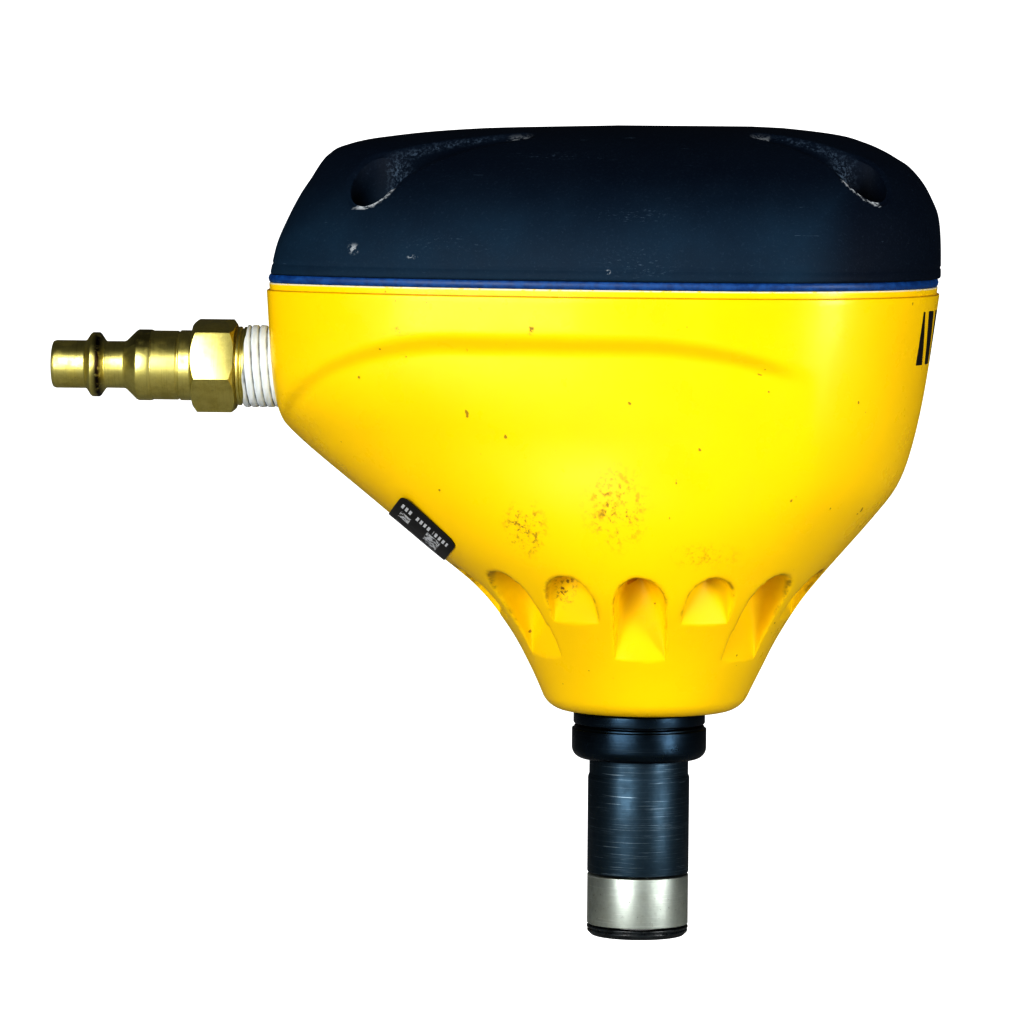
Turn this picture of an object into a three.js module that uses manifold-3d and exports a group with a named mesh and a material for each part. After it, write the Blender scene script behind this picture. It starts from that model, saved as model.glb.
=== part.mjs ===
// Palm nailer: a palm-held pneumatic hammer that drives a nail held in its magnetic nose.
//
// Millimetres, +Z up. The nose and driver stand on the Z axis, the air inlet points along -X.
// Every height below is measured up from the open end of the nose. The finished group is then
// lowered so that the origin is the centre of the driver's striking face at rest.

import * as THREE from 'three';
import { mergeVertices } from 'three/addons/utils/BufferGeometryUtils.js';
import Module from 'manifold-3d';

const wasm = await Module();
wasm.setup();

// ---------------------------------------------------------------- driving dimensions (mm)

const gap = 0.3;             // clearance left between fixed pieces that bear on each other
const slideGap = 0.3;        // radial clearance of the driver's piston in the cylinder
const roundSides = 20;       // facets round a turned piece
const planSides = 32;        // facets round the body and cap outlines

// driver and its travel
const driverRecess = 7;      // striking face above the nose end at rest
const driverDown = 6;        // travel from rest to the bumper
const driverUp = 16;         // travel from rest to the top of the stroke
const rodRadius = 4.75;
const rodClearance = 0.55;   // round the rod inside the nose
const boreRadius = 13;       // cylinder bore

// nose
const endRingTop = 1.6;
const tipTop = 10.6;
const collarBottom = 30;
const collarHeight = 6.4;
const lockRingHeight = 2.2;
const magnetWall = 1;
const noseWall = 2.15;       // wall of the nose outside the magnet
const shankWall = 0.95;      // threaded shank of the collar, round the barrel
const flangeHeight = 2.4;    // flange that keeps the barrel in the collar
const magnetRadius = rodRadius + rodClearance + magnetWall;
const mouthRadius = magnetRadius + gap;
const barrelRadius = mouthRadius + noseWall;
const shankRadius = barrelRadius + gap + shankWall;
const collarRadius = shankRadius + 1.6;
const lockRingRadius = shankRadius + 1.35;

// body casting
const neckBottom = collarBottom + collarHeight + gap + lockRingHeight + gap;
const bodyHeight = 73.4;
const neckRadius = 16.5;
const neckRounding = 2.4;
const neckCentreX = 0.9;
const widestX = 10;          // where the body is widest, towards its front
const bodyFront = 50.9;
const bodyRear = 64;         // flat inlet face at the top of the body
const rearTuck = 8;          // how far the oval plan would run on behind the flat face
const bodyHalfWidth = 36.5;
const inletDraft = 0.068;    // lean of the inlet face, outwards going up
const wall = 3.8;
const rimStep = 0.5;         // the rim under the gasket is set in by this much
const rimStepHeight = 1.3;
const gripRecess = 2.2;      // depth of the finger recess on each side
const gripBandHeight = 7.6;  // proud band left between the recess and the rim

const bodyTop = neckBottom + bodyHeight;

// neck flutes, long and short in turn
const fluteCount = 14;
const fluteWidth = 8.6;
const fluteTop = neckBottom + 25;
const longFluteBottom = neckBottom + 10.3;
const shortFluteBottom = neckBottom + 16.8;
const exhaustRadius = 1.5;

// cylinder
const webBottom = neckBottom + 11.1;
const webHeight = 2.7;
const cylinderDrop = 4;      // from the body's top down to the cylinder's
const bumperHeight = 6.7;
const cylinderWall = 3;
const bossWall = 3.7;

// cap and palm pad
const gasketHeight = 0.9;
const seamGap = 0.25;
const padHeight = 25.6;
const padThickness = 3;
const castWall = 3.2;
const screwSeat = 4.6;       // height of the screw seats above the cap's base
const frontScrewX = bodyFront - 13.9;
const rearScrewX = 19.4 - bodyRear;
const screwInset = 6.78;     // from the pad's inner wall in to a screw's axis, at the seats
const screwRadius = 2.5;
const screwLength = 20;
const headRadius = 4.25;
const headHeight = 5;
const washerHeight = 1.2;
const pocketRadius = headRadius + 0.45;
const channelRadius = 4.2;
const channelDepth = 1.7;
const rearChannelRun = 24.2; // from a pocket towards the middle of the pad
const frontChannelRun = 17;
const channelDrift = 6.2;    // how far a channel closes in on the pad's middle line

// air inlet
const inletHeight = bodyTop - 15;
const hexAcrossFlats = 14.29;
const threadRadius = 6.4;
const tapeThickness = 0.3;
const threadEngaged = 9.5;
const plugBore = 2.4;

// valve
const valvePlateRadius = 10;
const valveLift = 0.9;
const seatHeight = 2.2;
const valvePlateHeight = 1.2;
const valveCapWall = 3.8;
const cushionHeight = 2;

// rating label
const labelLength = 12.4;
const labelWidth = 38;
const labelThickness = 0.35;
const labelRise = 29.5;      // from the neck's bottom up to the label's middle

const capBase = bodyTop + seamGap + gasketHeight + seamGap;

// ---------------------------------------------------------------- solids

/** A closed indexed geometry with merged corners, no empty triangles, and its faces pointing out. */
function closed(source) {
  const geometry = source.clone();
  geometry.deleteAttribute('normal');
  geometry.deleteAttribute('uv');
  const merged = mergeVertices(geometry, 1e-4);
  const at = merged.getAttribute('position');
  const corner = (i) => new THREE.Vector3().fromBufferAttribute(at, i);
  const kept = [];
  let volume = 0;
  for (let i = 0; i < merged.index.count; i += 3) {
    const [a, b, c] = [0, 1, 2].map((k) => merged.index.getX(i + k));
    if (a === b || b === c || c === a) continue;
    kept.push([a, b, c]);
    volume += corner(a).dot(corner(b).cross(corner(c)));
  }
  merged.setIndex(kept.map((t) => (volume > 0 ? t : [t[0], t[2], t[1]])).flat());
  return merged;
}

function toSolid(source) {
  const geometry = closed(source);
  return new wasm.Manifold(new wasm.Mesh({
    numProp: 3,
    vertProperties: new Float32Array(geometry.getAttribute('position').array),
    triVerts: new Uint32Array(geometry.index.array),
  }));
}

function toGeometry(solid) {
  const mesh = solid.getMesh();
  const geometry = new THREE.BufferGeometry();
  geometry.setAttribute('position', new THREE.BufferAttribute(mesh.vertProperties, 3));
  geometry.setIndex(new THREE.BufferAttribute(mesh.triVerts, 1));
  return geometry;
}

/** Turned piece about Z from a closed [radius, height] outline. */
function turned(outline, sides = roundSides) {
  const points = [...outline, outline[0]].map(([radius, height]) => new THREE.Vector2(radius, height));
  return new THREE.LatheGeometry(points, sides).rotateX(Math.PI / 2);
}

/** Turned piece about Z whose outline starts and ends on the axis. */
function turnedSolid(outline, sides = roundSides) {
  const points = outline.map(([radius, height]) => new THREE.Vector2(radius, height));
  return new THREE.LatheGeometry(points, sides).rotateX(Math.PI / 2);
}

function ring(inner, outer, bottom, top, sides = roundSides) {
  return turned([[inner, bottom], [outer, bottom], [outer, top], [inner, top]], sides);
}

function disc(radius, bottom, top, sides = roundSides) {
  return turnedSolid([[0, bottom], [radius, bottom], [radius, top], [0, top]], sides);
}

/** O-ring: a six-sided section between two radii. */
function sealRing(inner, outer, middle) {
  const sides = 6;
  const radius = (outer - inner) / 2;
  const centre = (outer + inner) / 2;
  const outline = [];
  for (let i = 0; i < sides; i++) {
    const angle = (2 * Math.PI * i) / sides;
    outline.push([centre + radius * Math.cos(angle), middle + radius * Math.sin(angle)]);
  }
  return turned(outline);
}

/** Skin through a stack of rings, each a list of Vector3, closed by a flat fan at both ends. */
function loft(rings) {
  const count = rings[0].length;
  const positions = rings.flat().flatMap((p) => [p.x, p.y, p.z]);
  const index = [];
  for (let level = 0; level + 1 < rings.length; level++) {
    for (let i = 0; i < count; i++) {
      const [a, b] = [level * count + i, level * count + ((i + 1) % count)];
      index.push(a, b, b + count, a, b + count, a + count);
    }
  }
  for (const level of [0, rings.length - 1]) {
    const centre = positions.length / 3;
    const middle = rings[level].reduce((sum, p) => sum.add(p), new THREE.Vector3());
    positions.push(middle.x / count, middle.y / count, middle.z / count);
    for (let i = 0; i < count; i++) {
      const [a, b] = [level * count + i, level * count + ((i + 1) % count)];
      index.push(...(level === 0 ? [centre, b, a] : [centre, a, b]));
    }
  }
  const geometry = new THREE.BufferGeometry();
  geometry.setAttribute('position', new THREE.Float32BufferAttribute(positions, 3));
  geometry.setIndex(index);
  return geometry;
}

function pipeAlongX(radius, fromX, toX, y, z, sides = roundSides) {
  return disc(radius, 0, toX - fromX, sides).rotateY(Math.PI / 2).translate(fromX, y, z);
}

// ---------------------------------------------------------------- smooth values

function smoothstep(value, low, high) {
  const t = Math.min(1, Math.max(0, (value - low) / (high - low)));
  return t * t * (3 - 2 * t);
}

/** Smooth curve through [position, value] pairs; straight beyond its ends. */
function smoothTable(pairs) {
  const slope = (i) => {
    const [low, high] = [pairs[Math.max(0, i - 1)], pairs[Math.min(pairs.length - 1, i + 1)]];
    return (high[1] - low[1]) / (high[0] - low[0]);
  };
  return (position) => {
    let i = 0;
    while (i < pairs.length - 2 && position > pairs[i + 1][0]) i++;
    const [[x0, y0], [x1, y1]] = [pairs[i], pairs[i + 1]];
    const span = x1 - x0;
    const t = Math.min(1, Math.max(0, (position - x0) / span));
    const [t2, t3] = [t * t, t * t * t];
    return (2 * t3 - 3 * t2 + 1) * y0 + (t3 - 2 * t2 + t) * span * slope(i)
      + (3 * t2 - 2 * t3) * y1 + (t3 - t2) * span * slope(i + 1);
  };
}

// ---------------------------------------------------------------- body outline

// Share of the way from the neck to the widest size, against share of the body's height.
const frontShape = smoothTable([
  [0, 0], [0.09, 0.095], [0.18, 0.195], [0.28, 0.338], [0.46, 0.672],
  [0.53, 0.787], [0.61, 0.855], [0.75, 0.922], [1, 1],
]);
const rearShape = smoothTable([
  [0, 0], [0.1, 0.058], [0.195, 0.128], [0.29, 0.23], [0.38, 0.373],
  [0.473, 0.521], [0.633, 0.783], [0.722, 0.925], [0.8, 0.985], [1, 1],
]);
const sideShape = smoothTable([
  [0, 0], [0.1, 0.154], [0.19, 0.335], [0.3, 0.587], [0.43, 0.786], [0.54, 0.886], [0.7, 0.95], [1, 1],
]);

/** Oval with a flat rear end whose corners are rounded, as points round the given centre. */
function ovalPlan({ centreX, front, rear, half, flat, power }, inset, count = planSides) {
  const cornerSharpness = 40;
  const points = [];
  for (let i = 0; i < count; i++) {
    const step = (2 * Math.PI * i) / count;
    const reach = Math.cos(step) >= 0 ? front - centreX : centreX - rear;
    const angle = Math.atan2(half * Math.sin(step), reach * Math.cos(step));
    const [cos, sin] = [Math.cos(angle), Math.sin(angle)];
    const oval = (Math.abs(cos / reach) ** power + Math.abs(sin / half) ** power) ** (-1 / power);
    const plane = cos < 0 ? (centreX - flat) / -cos : Infinity;
    const radius = (oval ** -cornerSharpness + plane ** -cornerSharpness) ** (-1 / cornerSharpness);
    points.push(new THREE.Vector2(centreX + radius * cos, radius * sin));
  }
  return points.map((point, i) => {
    const along = points[(i + 1) % count].clone().sub(points[(i + count - 1) % count]).normalize();
    return new THREE.Vector2(point.x - along.y * inset, point.y + along.x * inset);
  });
}

/** Depth of the finger recess on the side of the body at one place. */
function recessAt(x, height) {
  const bandBottom = bodyTop - gripBandHeight;
  const turnX = -30;         // behind this the band's lower edge curves down
  const turnHeight = 16;
  const edgeBlend = 3.5;
  const rearRun = bodyRear - 3 + turnX;
  const rearDrop = turnHeight * (1 - Math.sqrt(Math.max(0, 1 - (Math.min(0, x - turnX) / rearRun) ** 2)));
  const frontDrop = 4 * (Math.max(0, x) / 25) ** 2;
  const upper = smoothstep(bandBottom - rearDrop - frontDrop - height, 0, edgeBlend);
  const lower = smoothstep(height, bodyTop - 46, bodyTop - 24);
  const ahead = 1 - smoothstep(x, bodyFront - 30.9, bodyFront - 19.9);
  const behind = smoothstep(x, -bodyRear + 1, -bodyRear + 6);
  return gripRecess * upper * lower * ahead * behind;
}

function bodySection(height) {
  const share = (height - neckBottom) / bodyHeight;
  const virtualRear = bodyRear + rearTuck;
  return {
    centreX: neckCentreX + (widestX - neckCentreX) * smoothstep(share, 0.3, 0.7),
    front: neckCentreX + neckRadius + (bodyFront - neckCentreX - neckRadius) * frontShape(share),
    rear: neckCentreX - neckRadius - (virtualRear + neckCentreX - neckRadius) * rearShape(share),
    half: neckRadius + (bodyHalfWidth - neckRadius) * sideShape(share),
    flat: -bodyRear + (bodyTop - height) * inletDraft,
    power: 2 + 0.2 * smoothstep(share, 0.4, 0.9),
  };
}

/** One level of the body's outline, set in by inset, with or without the finger recess. */
function bodyRing(height, inset = 0, recessed = true) {
  const aboveNeck = height - neckBottom;
  const under = Math.max(0, neckRounding - aboveNeck);
  const rounding = neckRounding - Math.sqrt(Math.max(0, neckRounding ** 2 - under ** 2));
  return ovalPlan(bodySection(height), inset + rounding).map((point) => {
    const depth = recessed ? recessAt(point.x, height) : 0;
    const across = Math.sign(point.y) * Math.max(0, Math.abs(point.y) - depth);
    return new THREE.Vector3(point.x, across, height);
  });
}

/** Heights of the body's rings as shares of its height, closest where the outline turns. */
const bodyShares = [0, 0.01, 0.033, 0.12, 0.22, 0.31, 0.4, 0.46, 0.52, 0.58, 0.635, 0.67, 0.75, 0.83,
  0.86, 0.885, 0.91];

function bodyEnvelope(offset) {
  const rimHeight = bodyTop - rimStepHeight;
  const rings = bodyShares.map((share) => bodyRing(neckBottom + share * bodyHeight, -offset));
  rings.push(bodyRing(rimHeight, -offset), bodyRing(rimHeight + 0.1, rimStep - offset));
  rings.push(bodyRing(bodyTop, rimStep - offset));
  return loft(rings);
}

// ---------------------------------------------------------------- levels inside the body

const webTop = webBottom + webHeight;
const bumperTop = webTop + gap + bumperHeight;
const cylinderBottom = bumperTop + gap;
const pistonBottom = bumperTop + gap + driverDown;
const cylinderTop = bodyTop - cylinderDrop;
const pistonTop = cylinderTop - gap - driverUp;
const cylinderRadius = boreRadius + cylinderWall;
const valveRadius = boreRadius + 4;
const cushionInner = valveRadius - 5;
const seatRadius = cylinderRadius + gap;
const bossRadius = seatRadius + bossWall;
const bossTop = cylinderTop + gap;
const valveSeatBottom = bossTop + gap;
const valvePlateBottom = valveSeatBottom + seatHeight + gap;
const valveCeiling = valvePlateBottom + valvePlateHeight + valveLift + gap;
const valveCapTop = valveCeiling + valveCapWall;
const cushionTop = valveCapTop + gap + cushionHeight;
const sealHeights = [cylinderBottom + 3.7, cylinderTop - 4.3];
const exhaustHeight = cylinderBottom + 10;
const chamberFloor = fluteTop + 9; // of the air chamber round the cylinder
const bushRadius = rodRadius + 1.95;

const seatTop = capBase + screwSeat;
const headBottom = seatTop + gap + washerHeight + gap;
const screwEnd = headBottom - screwLength;
const screwHole = screwRadius + gap;
const inletHole = threadRadius + gap + tapeThickness + gap;
const inletFaceX = -bodyRear + (bodyTop - inletHeight) * inletDraft;

/** Angle of each flute round the neck, from the -Y side, and whether it is a long one. */
const flutes = Array.from({ length: fluteCount }, (_, i) => ({
  angle: (2 * Math.PI * i) / fluteCount - Math.PI / 2,
  long: i % 2 === 0,
}));

/** Arch-topped cutter whose floor meets the body's skin at the flute's lower end. */
function fluteCutter({ angle, long }) {
  const bottom = long ? longFluteBottom : shortFluteBottom;
  const section = bodySection(bottom);
  const floor = section.half;
  const half = fluteWidth / 2;
  const soften = 1.8;
  const outline = new THREE.Shape();
  outline.moveTo(-half, bottom - 4);
  outline.lineTo(half, bottom - 4);
  outline.lineTo(half, fluteTop - half);
  outline.absarc(0, fluteTop - half, half, 0, Math.PI, false);
  const cutter = new THREE.ExtrudeGeometry(outline, {
    depth: 30, curveSegments: 4, bevelEnabled: true, bevelSegments: 1,
    bevelThickness: soften, bevelSize: soften, bevelOffset: -soften,
  });
  // the outline stands in the Y-Z plane and is pulled outwards along +X before it is turned
  cutter.rotateX(Math.PI / 2).rotateZ(Math.PI / 2).translate(floor + soften, 0, 0);
  return cutter.rotateZ(angle).translate(neckCentreX, 0, 0);
}

/** Slanted exhaust hole from the cylinder bore down to a long flute's ceiling. */
function exhaustCutter({ angle }) {
  const inner = new THREE.Vector3(boreRadius + 1, 0, exhaustHeight + 2.5);
  const outer = new THREE.Vector3(seatRadius + 9, 0, fluteTop - 2.5);
  const along = outer.clone().sub(inner);
  const hole = disc(exhaustRadius, 0, along.length(), 6);
  hole.applyQuaternion(new THREE.Quaternion().setFromUnitVectors(
    new THREE.Vector3(0, 0, 1), along.clone().normalize(),
  ));
  return hole.translate(inner.x, inner.y, inner.z).rotateZ(angle);
}

/** Air chamber: the body's outline from a little lower down, a wall thick all round. */
function chamberCutter() {
  const levels = 6;
  const floorLift = 3;
  const inset = wall + gripRecess / 2;
  return loft(Array.from({ length: levels }, (_, i) => {
    const height = chamberFloor + ((bodyTop + 1 - chamberFloor) * i) / (levels - 1);
    return bodyRing(height - floorLift, inset, false).map((p) => new THREE.Vector3(p.x, p.y, height));
  }));
}

function makeHousing() {
  const bossSides = 24;
  const postWall = 3;
  const postFoot = 8;        // how far a screw post runs on below its screw
  const portWall = 3.4;
  const portRun = threadEngaged + 3;
  const envelope = toSolid(bodyEnvelope(0));
  let body = envelope.subtract(toSolid(chamberCutter()));
  const inside = [toSolid(disc(bossRadius, webBottom, bossTop, bossSides))];
  for (const [x, y] of screwPlaces) {
    inside.push(toSolid(disc(screwHole + postWall, screwEnd - postFoot, bodyTop, 12).translate(x, y, 0)));
  }
  inside.push(toSolid(pipeAlongX(inletHole + portWall, inletFaceX, inletFaceX + portRun, 0, inletHeight)));
  for (const piece of inside) body = body.add(piece.intersect(envelope));
  const cutters = [
    disc(shankRadius + gap, neckBottom - 1, webBottom),
    disc(bushRadius + gap, webBottom - 1, webTop + 1),
    disc(seatRadius, webTop, bodyTop + 5),
    pipeAlongX(inletHole, inletFaceX - 10, inletFaceX + threadEngaged + 5, 0, inletHeight),
    ...screwPlaces.map(([x, y]) => disc(screwHole, screwEnd - 1.5, bodyTop + 1, 8).translate(x, y, 0)),
    ...flutes.map(fluteCutter),
    ...flutes.filter(({ long }) => long).map(exhaustCutter),
  ];
  for (const cutter of cutters) body = body.subtract(toSolid(cutter));
  return toGeometry(body);
}

function makeGasket() {
  const [bottom, top] = [bodyTop + seamGap, bodyTop + seamGap + gasketHeight];
  const slab = (inset, low, high) => toSolid(loft([low, high].map((height) => (
    bodyRing(bodyTop, inset, false).map((p) => new THREE.Vector3(p.x, p.y, height))
  ))));
  const bandWidth = 5;
  const earWidth = 3.2;      // of the gasket round a screw
  const outline = slab(rimStep, bottom, top);
  let gasket = outline.subtract(slab(rimStep + bandWidth, bottom - 1, top + 1));
  for (const [x, y] of screwPlaces) {
    const ear = toSolid(disc(screwHole + earWidth, bottom, top, 12).translate(x, y, 0));
    gasket = gasket.add(ear.intersect(outline));
  }
  for (const [x, y] of screwPlaces) {
    gasket = gasket.subtract(toSolid(disc(screwHole, bottom - 1, top + 1, 8).translate(x, y, 0)));
  }
  return toGeometry(gasket);
}

// ---------------------------------------------------------------- cap and palm pad

// Reach of the cap's front and rear ends against share of its height.
const padRear = smoothTable([
  [0, 1], [0.2, 0.988], [0.36, 0.966], [0.523, 0.938], [0.633, 0.912], [0.738, 0.882], [0.793, 0.858],
  [0.848, 0.805], [0.91, 0.68], [0.973, 0.46], [1, 0.2],
]);
const padFront = smoothTable([
  [0, 1], [0.26, 0.997], [0.42, 0.985], [0.527, 0.958], [0.637, 0.919], [0.742, 0.86], [0.793, 0.811],
  [0.848, 0.75], [0.9, 0.672], [0.949, 0.56], [0.99, 0.34], [1, 0.2],
]);

/** One level of the cap's dome, at a share of its height, made smaller all round by reduce. */
function capSection(share, reduce) {
  const rear = widestX - (bodyRear + widestX - reduce) * padRear(share);
  return {
    centreX: widestX,
    front: widestX + (bodyFront - widestX - reduce) * padFront(share),
    rear: rear - rearTuck * (1 - share) ** 1.2,
    half: (bodyHalfWidth - reduce) * Math.sqrt(Math.max(0, 1 - share ** 2)),
    flat: rear,
    power: 2 + 0.2 * (1 - share),
  };
}

/** Half the width of an oval plan at one place along it. */
function halfWidthAt(section, x) {
  const { centreX, front, rear, half, power } = section;
  const reach = x > centreX ? front - centreX : centreX - rear;
  return half * (1 - Math.abs((x - centreX) / reach) ** power) ** (1 / power);
}

const seatSection = capSection(screwSeat / (padHeight - padThickness), padThickness);
const seatHalfWidths = [rearScrewX, frontScrewX].map((x) => halfWidthAt(seatSection, x));
const screwY = Math.min(...seatHalfWidths) - screwInset;
const screwPlaces = [
  [rearScrewX, -screwY], [frontScrewX, -screwY], [frontScrewX, screwY], [rearScrewX, screwY],
];

function capDome(shares, reduce, bottom = capBase) {
  const height = capBase + padHeight - reduce - bottom;
  return loft(shares.map((share) => (
    ovalPlan(capSection(share, reduce), 0).map((p) => new THREE.Vector3(p.x, p.y, bottom + share * height))
  )));
}

/** Height of the pad's surface over one place on the plan. */
function padTopAt(x, y) {
  let [low, high] = [0, 1];
  for (let i = 0; i < 30; i++) {
    const share = (low + high) / 2;
    const section = capSection(share, 0);
    const reach = x > section.centreX ? section.front - section.centreX : section.centreX - section.rear;
    const inside = ((x - section.centreX) / reach) ** 2 + (y / section.half) ** 2 < 1;
    if (inside) low = share;
    else high = share;
  }
  return capBase + low * padHeight;
}

/** Rounded channel that runs from a screw pocket up over the dome towards the middle. */
function channelCutter(x, y) {
  const innerX = x < 0 ? x + rearChannelRun : x - frontChannelRun;
  const innerY = y - Math.sign(y) * channelDrift;
  const steps = 4;
  const path = Array.from({ length: steps + 1 }, (_, i) => {
    const [px, py] = [x + ((innerX - x) * i) / steps, y + ((innerY - y) * i) / steps];
    return new THREE.Vector3(px, py, padTopAt(px, py) + channelRadius - channelDepth);
  });
  const outline = new THREE.Shape().absarc(0, 0, channelRadius, 0, 2 * Math.PI, false);
  const groove = new THREE.ExtrudeGeometry(outline, {
    steps, curveSegments: 4, bevelEnabled: false, extrudePath: new THREE.CatmullRomCurve3(path),
  });
  const end = new THREE.SphereGeometry(channelRadius, 8, 5).translate(...path[steps].toArray());
  return toSolid(groove).add(toSolid(end));
}

const domeShares = [0, 0.25, 0.5, 0.7, 0.8, 0.87, 0.94, 0.99];
const innerShares = [0, 0.4, 0.7, 0.85, 0.96];

function makePad() {
  let pad = toSolid(capDome(domeShares, 0));
  pad = pad.subtract(toSolid(capDome(innerShares, padThickness, capBase)));
  for (const [x, y] of screwPlaces) {
    pad = pad.subtract(toSolid(disc(pocketRadius, seatTop, capBase + padHeight + 1, 14).translate(x, y, 0)));
    pad = pad.subtract(channelCutter(x, y));
  }
  return toGeometry(pad);
}

function makeCapCasting() {
  const outerReduce = padThickness + gap;
  const postWall = 1.8;
  const capTop = capBase + padHeight;
  const envelope = toSolid(capDome(innerShares, outerReduce));
  let casting = envelope.subtract(toSolid(capDome(innerShares, outerReduce + castWall)));
  const valveBossTop = capTop - outerReduce - castWall / 2;
  const inside = [toSolid(ring(cushionInner, valveRadius, cushionTop + gap, valveBossTop))];
  for (const [x, y] of screwPlaces) {
    inside.push(toSolid(disc(pocketRadius + postWall, capBase, capTop, 12).translate(x, y, 0)));
  }
  for (const piece of inside) casting = casting.add(piece.intersect(envelope));
  for (const [x, y] of screwPlaces) {
    casting = casting.subtract(toSolid(disc(screwHole, capBase - 1, seatTop + 1, 8).translate(x, y, 0)));
    casting = casting.subtract(toSolid(disc(pocketRadius, seatTop, capTop, 14).translate(x, y, 0)));
  }
  return toGeometry(casting);
}

// ---------------------------------------------------------------- fasteners

function makeScrew(x, y) {
  const socketRadius = 2.3;
  const socketDepth = 2.5;
  const headEdge = 0.4;
  const tipChamfer = 0.7;
  const top = headBottom + headHeight;
  const blank = turnedSolid([
    [0, screwEnd], [screwRadius - tipChamfer, screwEnd], [screwRadius, screwEnd + tipChamfer],
    [screwRadius, headBottom], [headRadius, headBottom], [headRadius, top - headEdge],
    [headRadius - headEdge, top], [0, top],
  ], 12);
  const socket = disc(socketRadius, top - socketDepth, top + 1, 6);
  return toGeometry(toSolid(blank).subtract(toSolid(socket))).translate(x, y, 0);
}

/** Split spring washer: a ring with a narrow cut. */
function makeWasher(x, y) {
  const splitWidth = 0.6;
  const blank = ring(screwHole, headRadius, seatTop + gap, seatTop + gap + washerHeight, 12);
  const split = new THREE.BoxGeometry(4, splitWidth, 4).translate(headRadius, 0, seatTop + gap);
  return toGeometry(toSolid(blank).subtract(toSolid(split))).translate(x, y, 0);
}

// ---------------------------------------------------------------- nose

const noseSides = 24;
const rodPassage = rodRadius + rodClearance;
const edge = 0.7;            // bevel of the end ring
const tipWall = 1;           // shoulder above the magnet
const relief = 0.2;          // the barrel is slimmer above this much below the collar
const reliefDrop = 2;
const flangeTop = webBottom - gap;
const flangeBottom = flangeTop - flangeHeight;
const collarRounding = 2.2;

const noseParts = {
  nose_end_ring: turned([
    [mouthRadius, 0], [barrelRadius - edge, 0], [barrelRadius, edge], [barrelRadius, endRingTop],
    [mouthRadius, endRingTop],
  ], noseSides),
  nose_tip: turned([
    [mouthRadius, endRingTop + gap], [barrelRadius - 0.05, endRingTop + gap],
    [barrelRadius - 0.05, tipTop], [rodPassage, tipTop], [rodPassage, tipTop - tipWall],
    [mouthRadius, tipTop - tipWall],
  ], noseSides),
  nose_magnet: ring(rodPassage, magnetRadius, endRingTop + gap, tipTop - tipWall - gap),
  nose_barrel: turned([
    [rodPassage, tipTop + gap], [barrelRadius, tipTop + gap],
    [barrelRadius, collarBottom - reliefDrop], [barrelRadius - relief, collarBottom - reliefDrop + 0.5],
    [barrelRadius - relief, flangeBottom], [shankRadius, flangeBottom],
    [shankRadius, flangeTop], [rodPassage, flangeTop],
  ], noseSides),
  nose_collar: turned([
    [barrelRadius + gap, collarBottom], [collarRadius - 1.6, collarBottom],
    [collarRadius - 0.5, collarBottom + 0.9], [collarRadius, collarBottom + collarRounding],
    [collarRadius, collarBottom + collarHeight], [shankRadius, collarBottom + collarHeight],
    [shankRadius, flangeBottom - gap], [barrelRadius + gap, flangeBottom - gap],
  ], noseSides),
  nose_lock_ring: ring(
    shankRadius + gap, lockRingRadius, neckBottom - gap - lockRingHeight, neckBottom - gap, noseSides,
  ),
};

// ---------------------------------------------------------------- hammer parts

const sealDepth = 1.2;       // depth and half the width of the cylinder's seal grooves
const sealSqueeze = 0.1;     // the seals stand this far out of their grooves

function makeCylinder() {
  const grooveRadius = cylinderRadius - sealDepth;
  const outline = [[boreRadius, cylinderBottom], [cylinderRadius, cylinderBottom]];
  for (const middle of sealHeights) {
    outline.push([cylinderRadius, middle - sealDepth], [grooveRadius, middle - sealDepth]);
    outline.push([grooveRadius, middle + sealDepth], [cylinderRadius, middle + sealDepth]);
  }
  outline.push([cylinderRadius, cylinderTop], [boreRadius, cylinderTop]);
  let sleeve = toSolid(turned(outline));
  for (const { angle, long } of flutes) {
    if (!long) continue;
    const port = pipeAlongX(exhaustRadius, boreRadius - 3, cylinderRadius + 2, 0, exhaustHeight, 6);
    sleeve = sleeve.subtract(toSolid(port.rotateZ(angle)));
  }
  return toGeometry(sleeve);
}

const pistonRadius = boreRadius - slideGap;
const pistonChamfer = 1;
const pistonGroove = pistonTop - 5;
const grooveHalf = 1.1;
const grooveRadius = pistonRadius - 1.8;
const strikeChamfer = 0.3;
const driverPiston = turnedSolid([
  [0, driverRecess], [rodRadius - strikeChamfer, driverRecess], [rodRadius, driverRecess + strikeChamfer],
  [rodRadius, pistonBottom], [pistonRadius - pistonChamfer, pistonBottom],
  [pistonRadius, pistonBottom + pistonChamfer],
  [pistonRadius, pistonGroove - grooveHalf], [grooveRadius, pistonGroove - grooveHalf],
  [grooveRadius, pistonGroove + grooveHalf], [pistonRadius, pistonGroove + grooveHalf],
  [pistonRadius, pistonTop - pistonChamfer], [pistonRadius - pistonChamfer, pistonTop], [0, pistonTop],
]);

const cylinderSeal = (middle) => (
  sealRing(cylinderRadius - sealDepth + sealSqueeze, cylinderRadius + sealSqueeze, middle)
);
const valveChamberRadius = valvePlateRadius + 0.6;

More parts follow.
